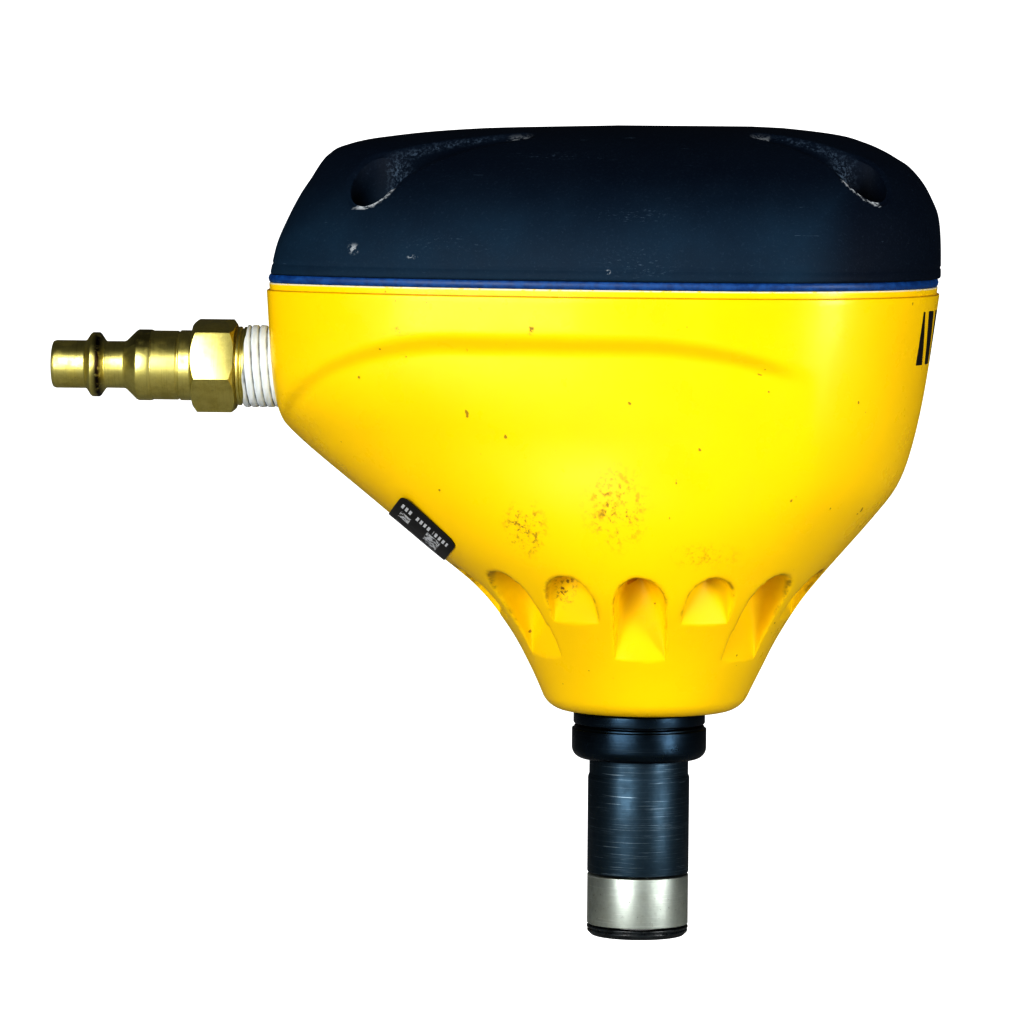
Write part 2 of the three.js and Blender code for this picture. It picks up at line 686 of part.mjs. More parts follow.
const hammerParts = {
  cylinder: makeCylinder(),
  cylinder_seal_lower: cylinderSeal(sealHeights[0]),
  cylinder_seal_upper: cylinderSeal(sealHeights[1]),
  driver_piston: driverPiston,
  piston_seal: sealRing(grooveRadius + gap, pistonRadius + 0.12, pistonGroove),
  bumper: turned([
    [rodRadius + 1, webTop + gap], [seatRadius - 0.9, webTop + gap], [seatRadius - 0.9, bumperTop - 1.5],
    [boreRadius - 1.2, bumperTop], [rodRadius + 1, bumperTop],
  ]),
  driver_guide_bush: ring(rodRadius + 0.25, bushRadius, webBottom, webTop),
  valve_seat: ring(6, valveRadius, valveSeatBottom, valveSeatBottom + seatHeight),
  valve_plate: disc(valvePlateRadius, valvePlateBottom, valvePlateBottom + valvePlateHeight),
  valve_cap: turned([
    [valveChamberRadius, valvePlateBottom], [valveRadius, valvePlateBottom],
    [valveRadius, valveCapTop], [2, valveCapTop], [2, valveCeiling], [valveChamberRadius, valveCeiling],
  ]),
  valve_cushion: ring(cushionInner, valveRadius - 1.5, valveCapTop + gap, cushionTop),
};

// ---------------------------------------------------------------- air inlet

const hexFront = 7.1;        // distances out from the inlet face
const hexRear = 14.5;
const plugLength = 39;
const tapeRun = 5.2;

/** 1/4 in industrial plug: thread, hexagon, and the stepped end that a coupler grips. */
function makeAirPlug() {
  const clocking = THREE.MathUtils.degToRad(14);
  // distance out from the inlet face, and radius
  const outline = [
    [-threadEngaged, plugBore], [-threadEngaged, threadRadius - 0.4], [1 - threadEngaged, threadRadius],
    [hexFront - 1.6, threadRadius], [hexFront - 1.6, 6.5], [hexFront, 6.5], [hexRear, 7.1],
    [hexRear + 2.4, 5.95], [21.1, 6.1], [23.9, 6.1], [26.3, 4.03],
    [29.7, 4.03], [30.5, 5.55], [32.2, 5.55],
    [33.2, 4.15], [plugLength - 0.5, 4.15], [plugLength, 3.7], [plugLength, plugBore],
  ];
  const body = toSolid(turned(outline.map(([out, radius]) => [radius, -out])));
  const corner = hexAcrossFlats / Math.sqrt(3);
  const cornerCut = 0.9;
  const hex = toSolid(disc(corner, -hexRear, -hexFront, 6));
  const chamfer = toSolid(turnedSolid([
    [0, -hexRear - 0.1], [corner - 1, -hexRear - 0.1], [corner, -hexRear + cornerCut],
    [corner, -hexFront - cornerCut], [corner - 1, -hexFront + 0.1], [0, -hexFront + 0.1],
  ], 24));
  const bore = toSolid(disc(plugBore, -hexRear - 1, -hexFront + 1));
  return toGeometry(body.add(hex.intersect(chamfer)).subtract(bore))
    .rotateZ(clocking).rotateY(Math.PI / 2).translate(inletFaceX, 0, inletHeight);
}

function makeTape() {
  const inner = threadRadius + gap;
  return ring(inner, inner + tapeThickness, -tapeRun, threadEngaged - 1)
    .rotateY(Math.PI / 2).translate(inletFaceX, 0, inletHeight);
}

/** Perforated disc behind the plug. */
function makeScreen() {
  const near = inletFaceX + threadEngaged + gap;
  const [holes, holeRadius, holeReach] = [6, 1.1, 3.8];
  let screen = toSolid(pipeAlongX(inletHole - gap, near, near + 1, 0, inletHeight));
  for (let i = 0; i <= holes; i++) {
    const angle = (2 * Math.PI * i) / holes;
    const reach = i === holes ? 0 : holeReach;
    const [y, z] = [reach * Math.cos(angle), inletHeight + reach * Math.sin(angle)];
    screen = screen.subtract(toSolid(pipeAlongX(holeRadius, near - 1, near + 2, y, z, 6)));
  }
  return toGeometry(screen);
}

/** Thin sticker that wraps the sloping underside behind the neck. */
function makeLabel() {
  const height = neckBottom + labelRise;
  const rearAt = (level) => bodySection(level).rear;
  const slope = Math.atan2(2, (rearAt(height - 1) - rearAt(height + 1)));
  const skin = toSolid(bodyEnvelope(gap + labelThickness)).subtract(toSolid(bodyEnvelope(gap)));
  const window = new THREE.BoxGeometry(labelLength, labelWidth, 20).rotateY(slope);
  window.translate(rearAt(height), 0, height);
  return toGeometry(skin.intersect(toSolid(window)));
}

// ---------------------------------------------------------------- assembly

const finish = (color, roughness, metalness) => () => (
  new THREE.MeshStandardMaterial({ color, roughness, metalness })
);
const finishes = {
  yellowPaint: finish(0xf6c60a, 0.45, 0),
  blackRubber: finish(0x14171c, 0.85, 0),
  blueSeal: finish(0x1c4f93, 0.6, 0),
  sealRubber: finish(0x1b1b1d, 0.7, 0),
  castAlloy: finish(0x9a9c9e, 0.55, 0.9),
  blackOxide: finish(0x1e242c, 0.42, 0.8),
  bareSteel: finish(0x9fa19a, 0.38, 1),
  brass: finish(0xb49a4c, 0.35, 1),
  tape: finish(0xe9e7df, 0.7, 0),
  label: finish(0x111111, 0.5, 0),
  polymer: finish(0xd9d4c6, 0.6, 0),
};

const palmNailer = new THREE.Group();
palmNailer.position.z = -driverRecess;

function addPiece(name, geometry, makeFinish) {
  const piece = new THREE.Mesh(closed(geometry), makeFinish());
  piece.name = name;
  palmNailer.add(piece);
}

addPiece('housing', makeHousing(), finishes.yellowPaint);
addPiece('cap_gasket', makeGasket(), finishes.blueSeal);
addPiece('palm_pad', makePad(), finishes.blackRubber);
addPiece('cap_casting', makeCapCasting(), finishes.castAlloy);
screwPlaces.forEach(([x, y], i) => {
  addPiece(`cap_screw_${i + 1}`, makeScrew(x, y), finishes.blackOxide);
  addPiece(`cap_washer_${i + 1}`, makeWasher(x, y), finishes.bareSteel);
});

const pieceFinish = {
  nose_end_ring: finishes.sealRubber,
  nose_tip: finishes.bareSteel,
  nose_magnet: finishes.bareSteel,
  nose_barrel: finishes.blackOxide,
  nose_collar: finishes.blackOxide,
  nose_lock_ring: finishes.blackOxide,
  cylinder: finishes.castAlloy,
  cylinder_seal_lower: finishes.sealRubber,
  cylinder_seal_upper: finishes.sealRubber,
  driver_piston: finishes.bareSteel,
  piston_seal: finishes.sealRubber,
  bumper: finishes.sealRubber,
  driver_guide_bush: finishes.brass,
  valve_seat: finishes.castAlloy,
  valve_plate: finishes.polymer,
  valve_cap: finishes.polymer,
  valve_cushion: finishes.sealRubber,
};
for (const [name, geometry] of Object.entries({ ...noseParts, ...hammerParts })) {
  addPiece(name, geometry, pieceFinish[name]);
}

addPiece('air_plug', makeAirPlug(), finishes.brass);
addPiece('thread_tape', makeTape(), finishes.tape);
addPiece('inlet_screen', makeScreen(), finishes.bareSteel);
addPiece('rating_label', makeLabel(), finishes.label);

export default palmNailer;
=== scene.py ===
from math import asin, atan2, copysign, cos, exp, hypot, pi, radians, sin, sqrt

import bpy
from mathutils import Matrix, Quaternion, Vector


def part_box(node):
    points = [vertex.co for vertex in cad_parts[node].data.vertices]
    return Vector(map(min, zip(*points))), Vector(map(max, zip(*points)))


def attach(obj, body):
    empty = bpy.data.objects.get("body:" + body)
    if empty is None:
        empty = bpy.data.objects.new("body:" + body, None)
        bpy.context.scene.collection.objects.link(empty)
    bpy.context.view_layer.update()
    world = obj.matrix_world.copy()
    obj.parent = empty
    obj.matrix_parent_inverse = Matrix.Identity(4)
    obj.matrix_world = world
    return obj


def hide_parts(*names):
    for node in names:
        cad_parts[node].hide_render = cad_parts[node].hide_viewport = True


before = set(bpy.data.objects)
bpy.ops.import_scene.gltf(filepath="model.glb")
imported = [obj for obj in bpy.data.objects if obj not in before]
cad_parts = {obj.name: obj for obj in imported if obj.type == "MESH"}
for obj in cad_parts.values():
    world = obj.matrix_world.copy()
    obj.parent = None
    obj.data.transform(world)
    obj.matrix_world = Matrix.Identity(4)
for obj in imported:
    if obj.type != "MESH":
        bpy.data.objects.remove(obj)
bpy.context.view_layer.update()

mm = 0.001  # sizes below are in millimetres, the scene is in metres


def boxOf(node):
    low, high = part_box(node)
    return low / mm, high / mm


def centreOf(node):
    low, high = boxOf(node)
    return (low.x + high.x) / 2, (low.y + high.y) / 2, (low.z + high.z) / 2


print("frame loaded")


# camera, lights and floor

cameraView = {
    "target": (-22.3, 0.0, 65.9),  # what the middle of the picture looks at
    "offset": (60.8, -997.0, 73.9),  # from the target to the camera
    "lens": 204.2,
    "roll": 0.47,  # degrees
}

studio = {
    "sky": 0.22,  # strength of the light all round, then of the broad lights from the front and the back
    "frontSky": 0.64,
    "backSky": 0.62,
    "frontAxis": (0.10, -0.99, 0.08),
    "backAxis": (-0.25, 0.85, 0.45),
    "key": {"place": (-345, -685, 250), "size": (420, 520), "power": 4.8},
    "strip": {"place": (680, -480, 160), "size": (180, 460), "power": 4.2},
    "aim": (-10.0, 0.0, 65.0),  # where both lamps point
    "floorColour": (0.5, 0.5, 0.5, 1.0),
    "floorGlow": 0.86,
}


def addCamera():
    target = Vector(cameraView["target"]) * mm
    data = bpy.data.cameras.new("mainCamera")
    data.lens = cameraView["lens"]
    data.clip_start = 0.01
    camera = bpy.data.objects.new("mainCamera", data)
    bpy.context.scene.collection.objects.link(camera)
    camera.location = target + Vector(cameraView["offset"]) * mm
    look = (target - camera.location).to_track_quat("-Z", "Y")
    camera.rotation_mode = "QUATERNION"
    camera.rotation_quaternion = look @ Quaternion((0.0, 0.0, 1.0), radians(cameraView["roll"]))
    bpy.context.scene.camera = camera


def addSoftbox(name, place, size, power):
    data = bpy.data.lights.new(name, "AREA")
    data.shape = "RECTANGLE"
    data.size, data.size_y = size[0] * mm, size[1] * mm
    data.energy = power
    light = bpy.data.objects.new(name, data)
    bpy.context.scene.collection.objects.link(light)
    light.location = Vector(place) * mm
    light.rotation_mode = "QUATERNION"
    light.rotation_quaternion = (Vector(studio["aim"]) - Vector(place)).to_track_quat("-Z", "Y")
    light.visible_camera = False


def addGlow(tree, coordinates, axis, strength, floor):
    facing = tree.nodes.new("ShaderNodeVectorMath")
    facing.operation = "DOT_PRODUCT"
    tree.links.new(coordinates.outputs["Generated"], facing.inputs[0])
    facing.inputs[1].default_value = axis
    spread = tree.nodes.new("ShaderNodeMapRange")
    spread.interpolation_type = "SMOOTHSTEP"
    spread.inputs["From Min"].default_value = 0.0
    spread.inputs["From Max"].default_value = 0.75
    spread.inputs["To Min"].default_value = floor
    spread.inputs["To Max"].default_value = floor + strength
    tree.links.new(facing.outputs["Value"], spread.inputs["Value"])
    return spread.outputs["Result"]


def addStudio():
    world = bpy.data.worlds.new("studioSky")
    bpy.context.scene.world = world
    world.use_nodes = True
    tree = world.node_tree
    sky = tree.nodes["Background"]
    coordinates = tree.nodes.new("ShaderNodeTexCoord")
    total = tree.nodes.new("ShaderNodeMath")
    front = addGlow(tree, coordinates, studio["frontAxis"], studio["frontSky"], studio["sky"])
    back = addGlow(tree, coordinates, studio["backAxis"], studio["backSky"], 0.0)
    tree.links.new(front, total.inputs[0])
    tree.links.new(back, total.inputs[1])
    tree.links.new(total.outputs["Value"], sky.inputs["Strength"])
    backdrop = tree.nodes.new("ShaderNodeBackground")  # what shows behind the tool is plain white
    path = tree.nodes.new("ShaderNodeLightPath")
    mix = tree.nodes.new("ShaderNodeMixShader")
    tree.links.new(path.outputs["Is Camera Ray"], mix.inputs["Fac"])
    tree.links.new(sky.outputs["Background"], mix.inputs[1])
    tree.links.new(backdrop.outputs["Background"], mix.inputs[2])
    backdrop.inputs["Color"].default_value = (1.0, 1.0, 1.0, 1.0)
    tree.links.new(mix.outputs["Shader"], tree.nodes["World Output"].inputs["Surface"])
    addSoftbox("keyLight", **studio["key"])
    addSoftbox("stripLight", **studio["strip"])


def addFloor():
    bpy.ops.object.select_all(action="DESELECT")
    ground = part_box("nose_end_ring")[0].z
    bpy.ops.mesh.primitive_plane_add(size=12.0, location=(0.0, 0.0, ground))
    floor = bpy.context.object
    floor.name = "studioFloor"
    material = bpy.data.materials.new("floorPaper")
    material.use_nodes = True
    tree = material.node_tree
    shader = tree.nodes["Principled BSDF"]
    shader.inputs["Base Color"].default_value = studio["floorColour"]
    shader.inputs["Roughness"].default_value = 0.9
    shader.inputs["Emission Color"].default_value = (1.0, 1.0, 1.0, 1.0)
    path = tree.nodes.new("ShaderNodeLightPath")  # the paper looks lighter than the light it throws back
    glow = tree.nodes.new("ShaderNodeMath")
    glow.operation = "MULTIPLY"
    glow.inputs[1].default_value = studio["floorGlow"]
    tree.links.new(path.outputs["Is Camera Ray"], glow.inputs[0])
    tree.links.new(glow.outputs["Value"], shader.inputs["Emission Strength"])
    side = tree.nodes.new("ShaderNodeNewGeometry")  # seen from below, the paper isn't there
    clear = tree.nodes.new("ShaderNodeBsdfTransparent")
    mix = tree.nodes.new("ShaderNodeMixShader")
    tree.links.new(side.outputs["Backfacing"], mix.inputs["Fac"])
    tree.links.new(shader.outputs["BSDF"], mix.inputs[1])
    tree.links.new(clear.outputs["BSDF"], mix.inputs[2])
    tree.links.new(mix.outputs["Shader"], tree.nodes["Material Output"].inputs["Surface"])
    floor.data.materials.append(material)


bpy.context.scene.view_settings.view_transform = "Standard"
bpy.context.scene.view_settings.look = "High Contrast"
addCamera()
addStudio()
addFloor()
print("camera, lights and floor ready")


# material helpers

class Look:
    # a material being made, with its nodes, its shader and the place on the piece in millimetres
    def __init__(self, name):
        self.material = bpy.data.materials.new(name)
        self.material.use_nodes = True
        self.tree = self.material.node_tree
        self.shader = self.tree.nodes["Principled BSDF"]
        coordinates = self.add("TexCoord")
        mapping = self.add("Mapping")
        mapping.inputs["Scale"].default_value = (1000.0, 1000.0, 1000.0)
        self.link(coordinates.outputs["Object"], mapping.inputs["Vector"])
        self.vector = mapping.outputs["Vector"]

    def add(self, kind, operation=None):
        node = self.tree.nodes.new("ShaderNode" + kind)
        if operation:
            node.operation = operation
        return node

    def link(self, start, end):
        self.tree.links.new(start, end)

    def plug(self, socket, value):
        if isinstance(value, bpy.types.NodeSocket):
            self.link(value, socket)
        elif isinstance(value, tuple) and len(value) == 3 and socket.type == "RGBA":
            socket.default_value = (*value, 1.0)
        else:
            socket.default_value = value

    def feed(self, name, value):
        self.plug(self.shader.inputs[name], value)

    def noise(self, size, detail=3.0, roughness=0.5, stretch=(1.0, 1.0, 1.0), shift=0.0):
        mapping = self.add("Mapping")
        mapping.inputs["Scale"].default_value = tuple(value / size for value in stretch)
        mapping.inputs["Location"].default_value = (shift, shift, shift)
        self.link(self.vector, mapping.inputs["Vector"])
        noise = self.add("TexNoise")
        for name, number in (("Scale", 1.0), ("Detail", detail), ("Roughness", roughness)):
            noise.inputs[name].default_value = number
        self.link(mapping.outputs["Vector"], noise.inputs["Vector"])
        return noise.outputs["Fac"]

    def ramp(self, value, low, high, start=0.0, end=1.0):
        ramp = self.add("MapRange")
        ramp.interpolation_type = "SMOOTHSTEP"
        for name, number in (("From Min", low), ("From Max", high), ("To Min", start), ("To Max", end)):
            ramp.inputs[name].default_value = number
        self.link(value, ramp.inputs["Value"])
        return ramp.outputs["Result"]

    def math(self, operation, first, second=0.0, third=0.0):
        node = self.add("Math", operation)
        for socket, value in zip(node.inputs, (first, second, third)):
            self.plug(socket, value)
        return node.outputs["Value"]

    def times(self, result, *values):
        for value in values:
            result = self.math("MULTIPLY", result, value)
        return result

    def highest(self, result, *values):
        for value in values:
            result = self.math("MAXIMUM", result, value)
        return result

    def mix(self, share, first, second):
        mix = self.add("Mix")
        mix.data_type = "RGBA"
        self.plug(mix.inputs["Factor"], share)
        self.plug(mix.inputs[6], first)
        self.plug(mix.inputs[7], second)
        return mix.outputs[2]

    def axes(self, vector=None):
        split = self.add("SeparateXYZ")
        self.link(vector or self.vector, split.inputs["Vector"])
        return split.outputs["X"], split.outputs["Y"], split.outputs["Z"]

    def band(self, value, low, high):
        return self.math("COMPARE", value, (low + high) / 2, (high - low) / 2)

    def repeat(self, value, count):
        return self.math("FRACT", self.math("MULTIPLY", value, count))

    def patch(self, centre, size):
        shift = self.add("VectorMath", "SUBTRACT")
        self.link(self.vector, shift.inputs[0])
        shift.inputs[1].default_value = centre
        scale = self.add("VectorMath", "DIVIDE")
        self.link(shift.outputs["Vector"], scale.inputs[0])
        scale.inputs[1].default_value = size
        length = self.add("VectorMath", "LENGTH")
        self.link(scale.outputs["Vector"], length.inputs[0])
        return self.ramp(length.outputs["Value"], 0.2, 1.0, 1.0, 0.0)

    def patches(self, rows):
        return self.highest(*[self.times(self.patch(centre, size), *share) for centre, size, *share in rows])

    def attribute(self, name):
        node = self.add("Attribute")
        node.attribute_name = name
        return node.outputs["Fac"]

    def bump(self, *layers):
        normal = None
        for height, value in layers:  # height in millimetres
            bump = self.add("Bump")
            bump.inputs["Distance"].default_value = height * mm
            self.link(value, bump.inputs["Height"])
            if normal:
                self.link(normal, bump.inputs["Normal"])
            normal = bump.outputs["Normal"]
        self.feed("Normal", normal)


# finishes

yellowPaint = {
    "colour": (0.97, 0.635, 0.0),
    "deepColour": (0.90, 0.50, 0.0),
    "dirtAndShadeColour": (0.20, 0.10, 0.015),
    "bareColour": (0.78, 0.70, 0.52),
    "rimLineColour": (0.42, 0.17, 0.0),
    "barColour": (0.012, 0.010, 0.010),
    "barHeights": (92.6, 101.7),
    "barReach": 14.2,  # from the middle of the front face
    "barPitch": 5.4,
    "barLean": 0.28,
    "barFrontX": 40.0,
    "roughness": 0.3,
    "orangePeel": 0.004,  # mm
    "chipDepth": 0.03,
}
# middle and reach of each dirty patch on the skin, and how strongly it shows
dirtPatches = [
    ((-3.0, -33.0, 69.0), (7.0, 14.0, 9.0), 0.8),
    ((-18.5, -30.0, 65.0), (5.0, 14.0, 6.5), 0.9),
    ((-40.0, -28.0, 98.4), (1.2, 14.0, 1.0), 1.0),
    ((-17.3, -34.0, 98.9), (0.8, 14.0, 1.3), 1.0),
    ((-12.0, -22.0, 55.0), (3.0, 9.0, 4.5), 1.0),
    ((12.0, -30.0, 61.0), (8.0, 14.0, 3.0), 0.35),
]
scratchPatch = ((-40.0, -28.0, 96.0), (9.0, 14.0, 3.0))


def makeYellowPaint(rimTop, rimStepZ, faceX):
    look = Look("yellowPaint")
    x, y, z = look.axes()
    cloud = look.ramp(look.noise(22.0, 2.0), 0.35, 0.75)
    colour = look.mix(look.times(cloud, 0.18), yellowPaint["colour"], yellowPaint["deepColour"])
    speckle = look.ramp(look.noise(0.9, 6.0, 0.7), 0.49, 0.60)
    blotch = look.ramp(look.noise(3.2, 4.0, 0.7, shift=11.0), 0.36, 0.55)
    dirtAndShade = look.times(look.patches(dirtPatches), blotch, speckle)
    rareSpeck = look.ramp(look.noise(1.6, 1.0, shift=37.0), 0.775, 0.80)
    streak = look.ramp(look.noise(0.55, 2.0, 0.6, (0.12, 0.12, 2.2), 5.0), 0.66, 0.70)
    scratch = look.times(streak, look.patch(*scratchPatch))
    clumps = look.ramp(look.noise(2.4, 3.0, 0.6, shift=3.0), 0.36, 0.62)
    # painted shade and dirt under the flutes' downward-facing ceilings
    grimeAndShade = look.times(look.attribute("grimeAndShade"), clumps, 0.7)
    dirtAndShade = look.highest(dirtAndShade, look.times(rareSpeck, 0.75), look.times(scratch, 0.4), grimeAndShade)
    # the dark mix holds the dirt and the painted shade under the flutes' ceilings
    colour = look.mix(dirtAndShade, colour, yellowPaint["dirtAndShadeColour"])
    # bare metal on the rim's edge and round the inlet
    chip = look.noise(1.1, 4.0, 0.65, shift=21.0)
    rimEdge = look.ramp(z, rimTop - 0.42, rimTop - 0.12)
    stepLine = look.band(z, rimStepZ - 0.1, rimStepZ + 0.14)
    inletWear = look.times(look.ramp(x, faceX + 1.3, faceX + 0.1), look.ramp(chip, 0.60, 0.68), 0.6)
    colour = look.mix(look.times(stepLine, 0.55), colour, yellowPaint["rimLineColour"])
    wear = look.highest(look.times(rimEdge, look.ramp(chip, 0.3, 0.5)), inletWear)
    colour = look.mix(wear, colour, yellowPaint["bareColour"])
    # plain slanted bars on the front face
    lean = look.math("ADD", y, look.times(z, yellowPaint["barLean"]))
    turn = look.math("FRACT", look.math("DIVIDE", lean, yellowPaint["barPitch"]))
    reach = yellowPaint["barReach"]
    bars = look.times(look.band(turn, 0.12, 0.78), look.band(z, *yellowPaint["barHeights"]),
                      look.band(y, -reach, reach))
    bars = look.times(bars, look.ramp(x, yellowPaint["barFrontX"], yellowPaint["barFrontX"] + 0.4))
    colour = look.mix(bars, colour, yellowPaint["barColour"])
    look.feed("Base Color", colour)
    roughness = yellowPaint["roughness"]
    haze = look.ramp(look.noise(9.0, 5.0, 0.6, shift=8.0), 0.3, 0.8, roughness - 0.05, roughness + 0.12)
    spoilt = look.highest(dirtAndShade, wear)
    look.feed("Roughness", look.math("ADD", haze, look.times(spoilt, 0.25)))
    look.feed("Specular IOR Level", 0.22)
    look.feed("Coat Weight", 0.12)
    look.feed("Coat Roughness", 0.12)
    peel = look.noise(1.5, 2.0)
    whole = look.math("SUBTRACT", 1.0, spoilt)
    look.bump((yellowPaint["orangePeel"], peel), (yellowPaint["chipDepth"], whole))
    return look.material


palmRubber = {
    "colour": (0.010, 0.033, 0.060),
    "deepColour": (0.007, 0.023, 0.044),
    "crownShadeColour": (0.0015, 0.005, 0.014),
    "scuffColour": (0.12, 0.17, 0.23),
    "whiteScuff": (0.5, 0.53, 0.55),
    "roughness": 0.62,
    "grainSize": 0.55,  # mm
    "grainHeight": 0.05,
}
# middle and reach of each scuffed patch, and how strongly it shows
padScuffs = [
    ((0.5, -34.0, 110.0), (9.0, 10.0, 4.5), 0.55),
    ((-1.0, -30.0, 118.0), (12.0, 14.0, 1.6), 0.7),
    ((-12.0, -24.0, 127.5), (16.0, 16.0, 1.0), 0.6),
    ((-33.0, -34.0, 113.0), (16.0, 16.0, 2.2), 0.35),
]
whiteNicks = [
    ((-47.8, -28.6, 111.8), (1.5, 6.0, 1.4)),
    ((-37.5, -32.0, 110.6), (1.2, 6.0, 0.5)),
    ((-4.5, -35.0, 108.6), (0.6, 6.0, 0.5)),
]


def makePalmRubber():
    look = Look("palmRubber")
    cloud = look.ramp(look.noise(14.0, 4.0, 0.6), 0.3, 0.75)
    colour = look.mix(cloud, palmRubber["deepColour"], palmRubber["colour"])
    x, y, z = look.axes()
    crownShade = look.times(look.ramp(z, 112.0, 126.0), 0.85)  # painted shade darkens the crown and the front end
    crownShade = look.highest(crownShade, look.times(look.ramp(x, 26.0, 38.0), 0.9))
    colour = look.mix(crownShade, colour, palmRubber["crownShadeColour"])
    dust = look.ramp(look.noise(0.45, 5.0, 0.75, shift=2.0), 0.52, 0.75)
    colour = look.mix(look.times(dust, 0.10), colour, palmRubber["scuffColour"])
    fine = look.ramp(look.noise(0.5, 6.0, 0.75, (0.5, 1.0, 1.6), 13.0), 0.57, 0.68)
    scuff = look.patches(padScuffs)
    hair = look.noise(1.0, 3.0, 0.7, (0.16, 0.4, 3.4), 31.0)
    scratches = look.times(look.ramp(hair, 0.70, 0.76), 0.45)
    flakes = look.ramp(look.noise(0.6, 5.0, 0.75, shift=6.0), 0.46, 0.62)
    # the rubbed flakes mix wear with a painted highlight on the lit side of the channels
    scuff = look.highest(look.times(scuff, fine), scratches, look.times(look.attribute("rubbedAndLit"), flakes))
    colour = look.mix(scuff, colour, palmRubber["scuffColour"])
    torn = look.noise(0.9, 4.0, 0.7, shift=44.0)
    nick = look.times(look.patches(whiteNicks), look.ramp(torn, 0.46, 0.52))
    nick = look.highest(nick, look.times(look.attribute("bright"), look.ramp(torn, 0.4, 0.55)))
    look.feed("Base Color", look.mix(nick, colour, palmRubber["whiteScuff"]))
    roughness = palmRubber["roughness"]
    look.feed("Roughness", look.ramp(cloud, 0.0, 1.0, roughness, roughness + 0.1))
    look.feed("Specular IOR Level", 0.16)
    look.bump((palmRubber["grainHeight"], look.noise(palmRubber["grainSize"], 5.0, 0.7)), (0.02, scuff))
    return look.material


def makePlainFinish(name, colour, other, blotchSize, roughness, metallic, grainSize, grainHeight, fleck=None):
    look = Look(name)
    cloud = look.ramp(look.noise(blotchSize, 4.0, 0.6), 0.35, 0.7)
    mixed = look.mix(cloud, colour, other)
    if fleck:
        spots = look.ramp(look.noise(0.7, 3.0, 0.6, shift=9.0), 0.64, 0.72)
        mixed = look.mix(look.times(spots, 0.7), mixed, fleck)
    look.feed("Base Color", mixed)
    look.feed("Roughness", look.ramp(cloud, 0.0, 1.0, roughness - 0.05, roughness + 0.08))
    look.feed("Metallic", metallic)
    look.bump((grainHeight, look.noise(grainSize, 4.0, 0.6, shift=4.0)))
    return look.material


def makeTurnedSteel(name, colour, lineColour, roughness, lineShare, shift=0.0, fleckColour=None):
    look = Look(name)
    rings = look.noise(1.0, 5.0, 0.75, (0.06, 0.06, 5.0), shift + 1.0)
    arcs = look.noise(1.0, 3.0, 0.65, (0.1, 0.1, 4.2), shift + 17.0)
    cloud = look.noise(6.0, 4.0, 0.65, shift=shift)
    dark = tuple(part * 0.55 for part in colour)
    base = look.mix(look.times(look.ramp(cloud, 0.35, 0.7), 0.6), colour, dark)
    lines = look.highest(look.times(look.ramp(rings, 0.55, 0.72), lineShare),
                         look.times(look.ramp(arcs, 0.62, 0.70), lineShare * 1.3))
    base = look.mix(lines, base, lineColour)
    if fleckColour:
        fleck = look.ramp(look.noise(0.8, 5.0, 0.7, shift=shift + 5.0), 0.62, 0.7)
        base = look.mix(look.times(fleck, 0.6), base, fleckColour)
    look.feed("Base Color", base)
    look.feed("Roughness", look.ramp(cloud, 0.3, 0.7, roughness - 0.06, roughness + 0.1))
    look.feed("Metallic", 1.0)
    look.bump((0.012, rings), (0.01, arcs))
    return look.material


brassTones = {
    "colour": (0.84, 0.76, 0.27),
    "dullColour": (0.42, 0.35, 0.08),
    "stainColour": (0.10, 0.055, 0.02),
    "sootAndShadeColour": (0.03, 0.018, 0.012),
    "roughness": 0.36,
}


def makeBrass():
    look = Look("plugBrass")
    cloud = look.ramp(look.noise(4.0, 5.0, 0.65), 0.38, 0.72)
    colour = look.mix(look.times(cloud, 0.55), brassTones["colour"], brassTones["dullColour"])
    rings = look.noise(1.0, 4.0, 0.7, (4.0, 0.08, 0.08), 2.0)
    colour = look.mix(look.times(look.ramp(rings, 0.5, 0.75), 0.35), colour, brassTones["dullColour"])
    stain = look.ramp(look.noise(1.3, 5.0, 0.7, shift=7.0), 0.66, 0.72)
    colour = look.mix(look.times(stain, 0.5), colour, brassTones["stainColour"])
    clumps = look.ramp(look.noise(1.5, 3.0, 0.6, shift=3.0), 0.25, 0.5)
    # darker along one step line and, as painted shade, where the plug's band faces up
    sootAndShade = look.times(look.attribute("sootAndShade"), clumps)
    look.feed("Base Color", look.mix(sootAndShade, colour, brassTones["sootAndShadeColour"]))
    roughness = brassTones["roughness"]
    look.feed("Roughness", look.ramp(cloud, 0.0, 1.0, roughness - 0.04, roughness + 0.12))
    look.feed("Metallic", 1.0)
    look.bump((0.01, rings), (0.012, look.noise(1.0, 4.0, 0.7, shift=12.0)))
    return look.material


tapeLook = {
    "colour": (0.74, 0.82, 0.86),
    "paleColour": (0.86, 0.91, 0.94),
    "grooveShadeColour": (0.06, 0.06, 0.055),
    "roughness": 0.5,
}


def makeTapeFinish():
    look = Look("threadTape")
    strands = look.noise(1.0, 4.0, 0.7, (2.6, 0.5, 0.5))
    colour = look.mix(look.ramp(strands, 0.3, 0.7), tapeLook["colour"], tapeLook["paleColour"])
    # painted shade darkens the tape's sunk thread grooves
    colour = look.mix(look.times(look.attribute("groove"), 0.92), colour, tapeLook["grooveShadeColour"])
    look.feed("Base Color", colour)
    look.feed("Roughness", tapeLook["roughness"])
    look.bump((0.03, strands))
    return look.material


labelLook = {
    "black": (0.010, 0.010, 0.011),
    "ink": (0.62, 0.64, 0.66),
    "roughness": 0.38,
    "dashes": 15.0,  # along the label
    "rows": 24.0,  # across it
}


